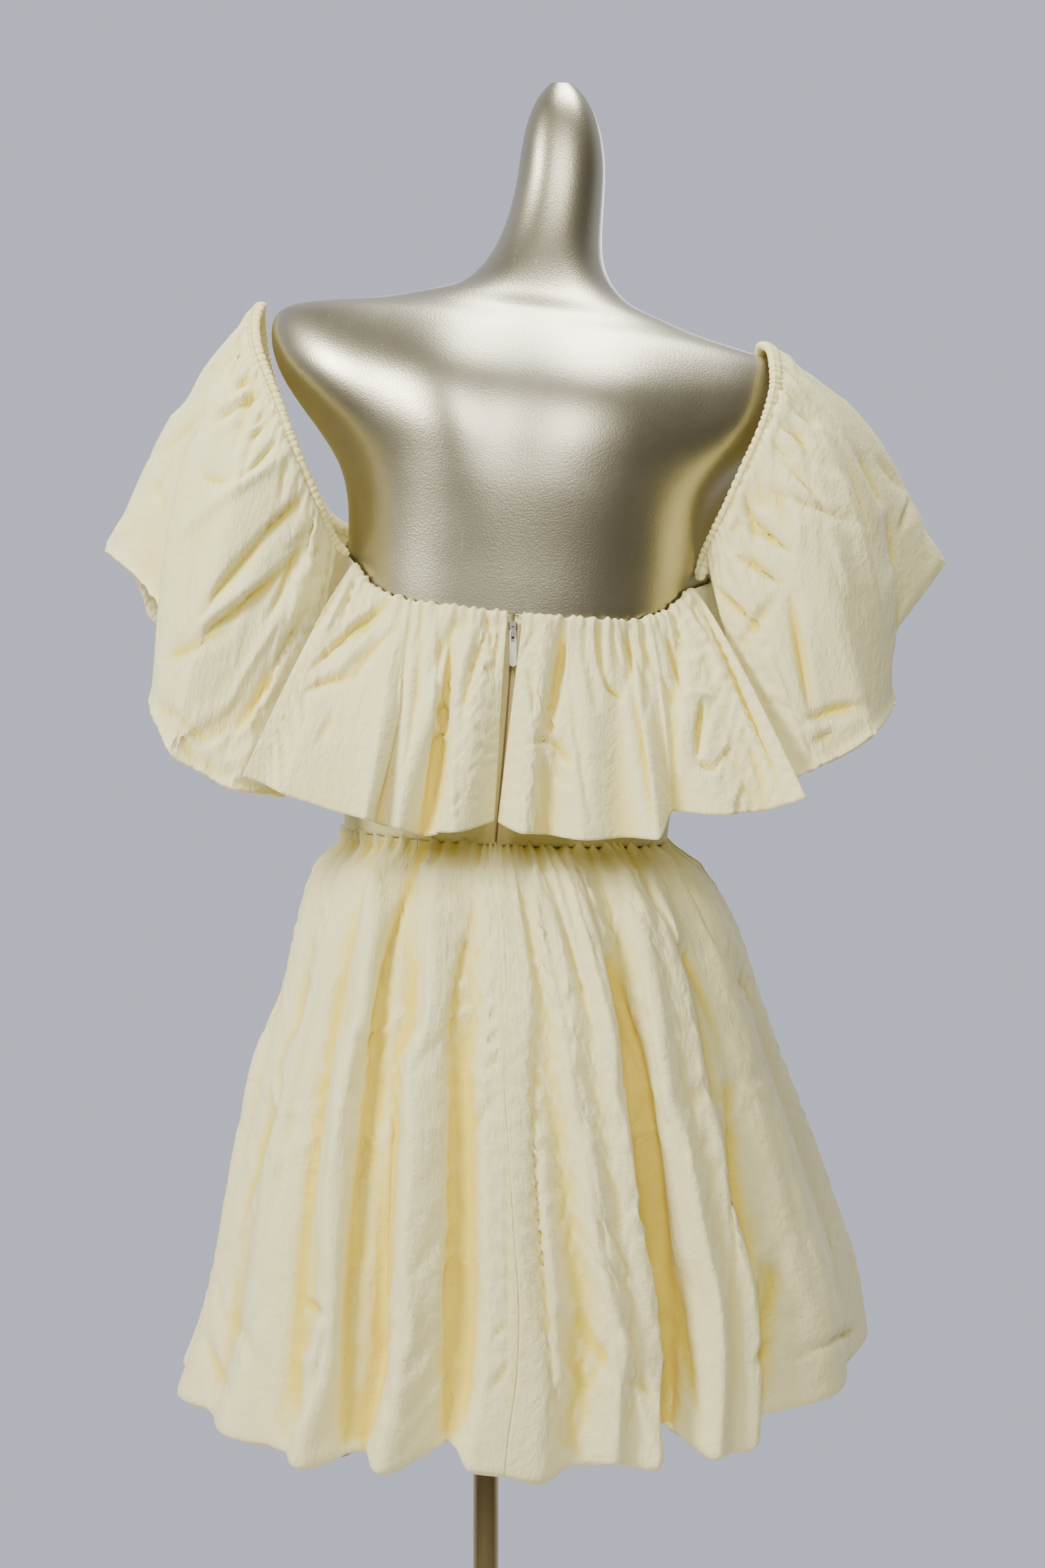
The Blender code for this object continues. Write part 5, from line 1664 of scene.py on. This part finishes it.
@dataclass
class Garment:
    """The whole dress: makes its panels, settles them and finishes them."""

    maker: MeshMaker
    form: DressForm
    body: bpy.types.Object
    turned_rows: int = 24
    back_gathers: int = 21
    back_hem_creases: int = 16
    front_gathers: int = 42
    front_hem_creases: int = 28
    gather_size: tuple[float, float] = (0.0056, 0.046)
    hem_crease_size: tuple[float, float] = (0.0022, 0.050)
    pucker_pitch: float = 0.012
    pucker_size: tuple[float, float] = (0.0026, 0.050)
    gather_seed: int = 11
    hem_seed: int = 23
    top_seed: int = 40
    edge_columns: float = 5.0

    def assemble(self) -> dict[str, bpy.types.Object]:
        """Build every cloth piece.

        Returns:
            The finished pieces by name.
        """
        bodice = Bodice(self.form)
        skirt, flounces = Skirt(bodice), Flounces(bodice)
        left = Sleeve("sleeve_panel_left", "sleeve_left", SLEEVE_LEFT, ELASTIC_LEFT,
                      Side.WEARERS_LEFT)
        right = Sleeve("sleeve_panel_right", "sleeve_right", SLEEVE_RIGHT, ELASTIC_RIGHT,
                       Side.WEARERS_RIGHT)
        panels = {**skirt.panels(), **flounces.panels(), **left.panels(), **right.panels()}
        settler = ClothSettler()
        for name, (grid, _) in panels.items():
            give = GIVES[name.split("_")[0]]
            settler.add(name, grid, hold_map(grid, give), give.growth)
        settled = settler.run()
        dresser = ClothDresser(self.maker, clear_of=self.body)
        made = {}
        for name, (_, nodes) in panels.items():
            made[name] = dresser.finish(name, settled[name], nodes, self.relief(name))
        plain = ClothDresser(self.maker, thickness=bodice.thickness, times=1)
        for name, (grid, nodes) in bodice.panels().items():
            made[name] = plain.finish(name, grid, nodes, None)
        made["zip_strip"] = plain.finish("zip_strip", bodice.zip_strip(), ("zip_tape",), None)
        return made

    def relief(self, name: str) -> Callable[[np.ndarray], np.ndarray]:
        """Outward height of a panel's gathers and creases, as a function of its grid."""
        counts = ((self.back_gathers, self.back_hem_creases) if "back" in name
                  else (self.front_gathers, self.front_hem_creases))
        seam_gathers = Gathers(counts[0], *self.gather_size, self.gather_seed + len(name))
        hem_creases = Puckers(counts[1], *self.hem_crease_size, self.hem_seed + len(name))
        creases = CREASES.get(name, ())

        def skirt_relief(grid: np.ndarray) -> np.ndarray:
            across, down = run_lengths(grid)
            share = np.broadcast_to(np.linspace(0, 1, grid.shape[1]), down.shape)
            above_hem = down[-self.turned_rows][None, :] - down
            height = seam_gathers.field(share, down) - crease_depth(grid, creases)
            height = height - hem_creases.field(across, above_hem, float(across[-1, -1]))
            return height * self.edge_fade(grid)

        def top_relief(grid: np.ndarray) -> np.ndarray:
            across, down = run_lengths(grid)
            width = float(across[0, -1])
            seed = self.top_seed + len(name)
            edge = TOP_EDGES[name.split("_")[0]]
            gathers = Gathers(int(width / edge.pitch), edge.height, edge.reach, seed)
            puckers = Puckers(int(width / self.pucker_pitch), *self.pucker_size, seed)
            height = gathers.field(across / width, down) - puckers.field(across, down, width)
            return (height - crease_depth(grid, creases)) * self.edge_fade(grid)

        return skirt_relief if name.startswith("skirt") else top_relief

    def edge_fade(self, grid: np.ndarray) -> np.ndarray:
        """Zero at the panel's side edges, one a little way in."""
        columns = np.arange(grid.shape[1])
        edge = np.minimum(columns, columns[::-1])
        return np.clip(edge / self.edge_columns, 0, 1)[None, :]


def dress_pieces(pieces: dict[str, bpy.types.Object], finish: ClothFinish | HardFinish,
                 effects: SharedEffects) -> None:
    """Give pieces one finish, and their slot's name."""
    material = finish.material(effects)
    for piece in pieces.values():
        piece.data.materials.clear()
        piece.data.materials.append(material)


def main() -> None:
    """Build the studio, the form, the stand and the dress, and report each piece."""
    logging.basicConfig(level=logging.INFO, format="%(message)s")
    maker = MeshMaker()
    Studio().build(maker)
    effects = SharedEffects()
    form = DressForm()
    body = {"form_torso": form.build(maker)}
    stand = {piece.name: piece for piece in Stand().build(maker)}
    cloth = Garment(maker, form, body["form_torso"]).assemble()
    elastics = {}
    for casing in (RuchedElastic("elastic_casing_left", "elastic_left", ELASTIC_LEFT, 3),
                   RuchedElastic("elastic_casing_right", "elastic_right", ELASTIC_RIGHT, 4)):
        elastics[casing.name] = casing.build(maker)
    strip = {"zip_strip": cloth["zip_strip"]}
    dress_pieces({**cloth, **elastics}, POPLIN, effects)
    dress_pieces(strip, TAPE, effects)
    dress_pieces(body, SATIN_GOLD, effects)
    dress_pieces(stand, STAND_METAL, effects)
    for node, finish in (("zip_slider", ZIP_METAL), ("closure_eye", ZIP_METAL),
                         ("closure_hook", ZIP_METAL), ("zip_pull_tab", ENAMEL)):
        material = finish.material(effects)
        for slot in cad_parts[node].material_slots:
            slot.material = material
    for name, piece in {**body, **stand, **cloth, **elastics}.items():
        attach(piece, BODY)
        LOG.info("%s: %d faces", name, len(piece.data.polygons))


if __name__ == "__main__":
    main()
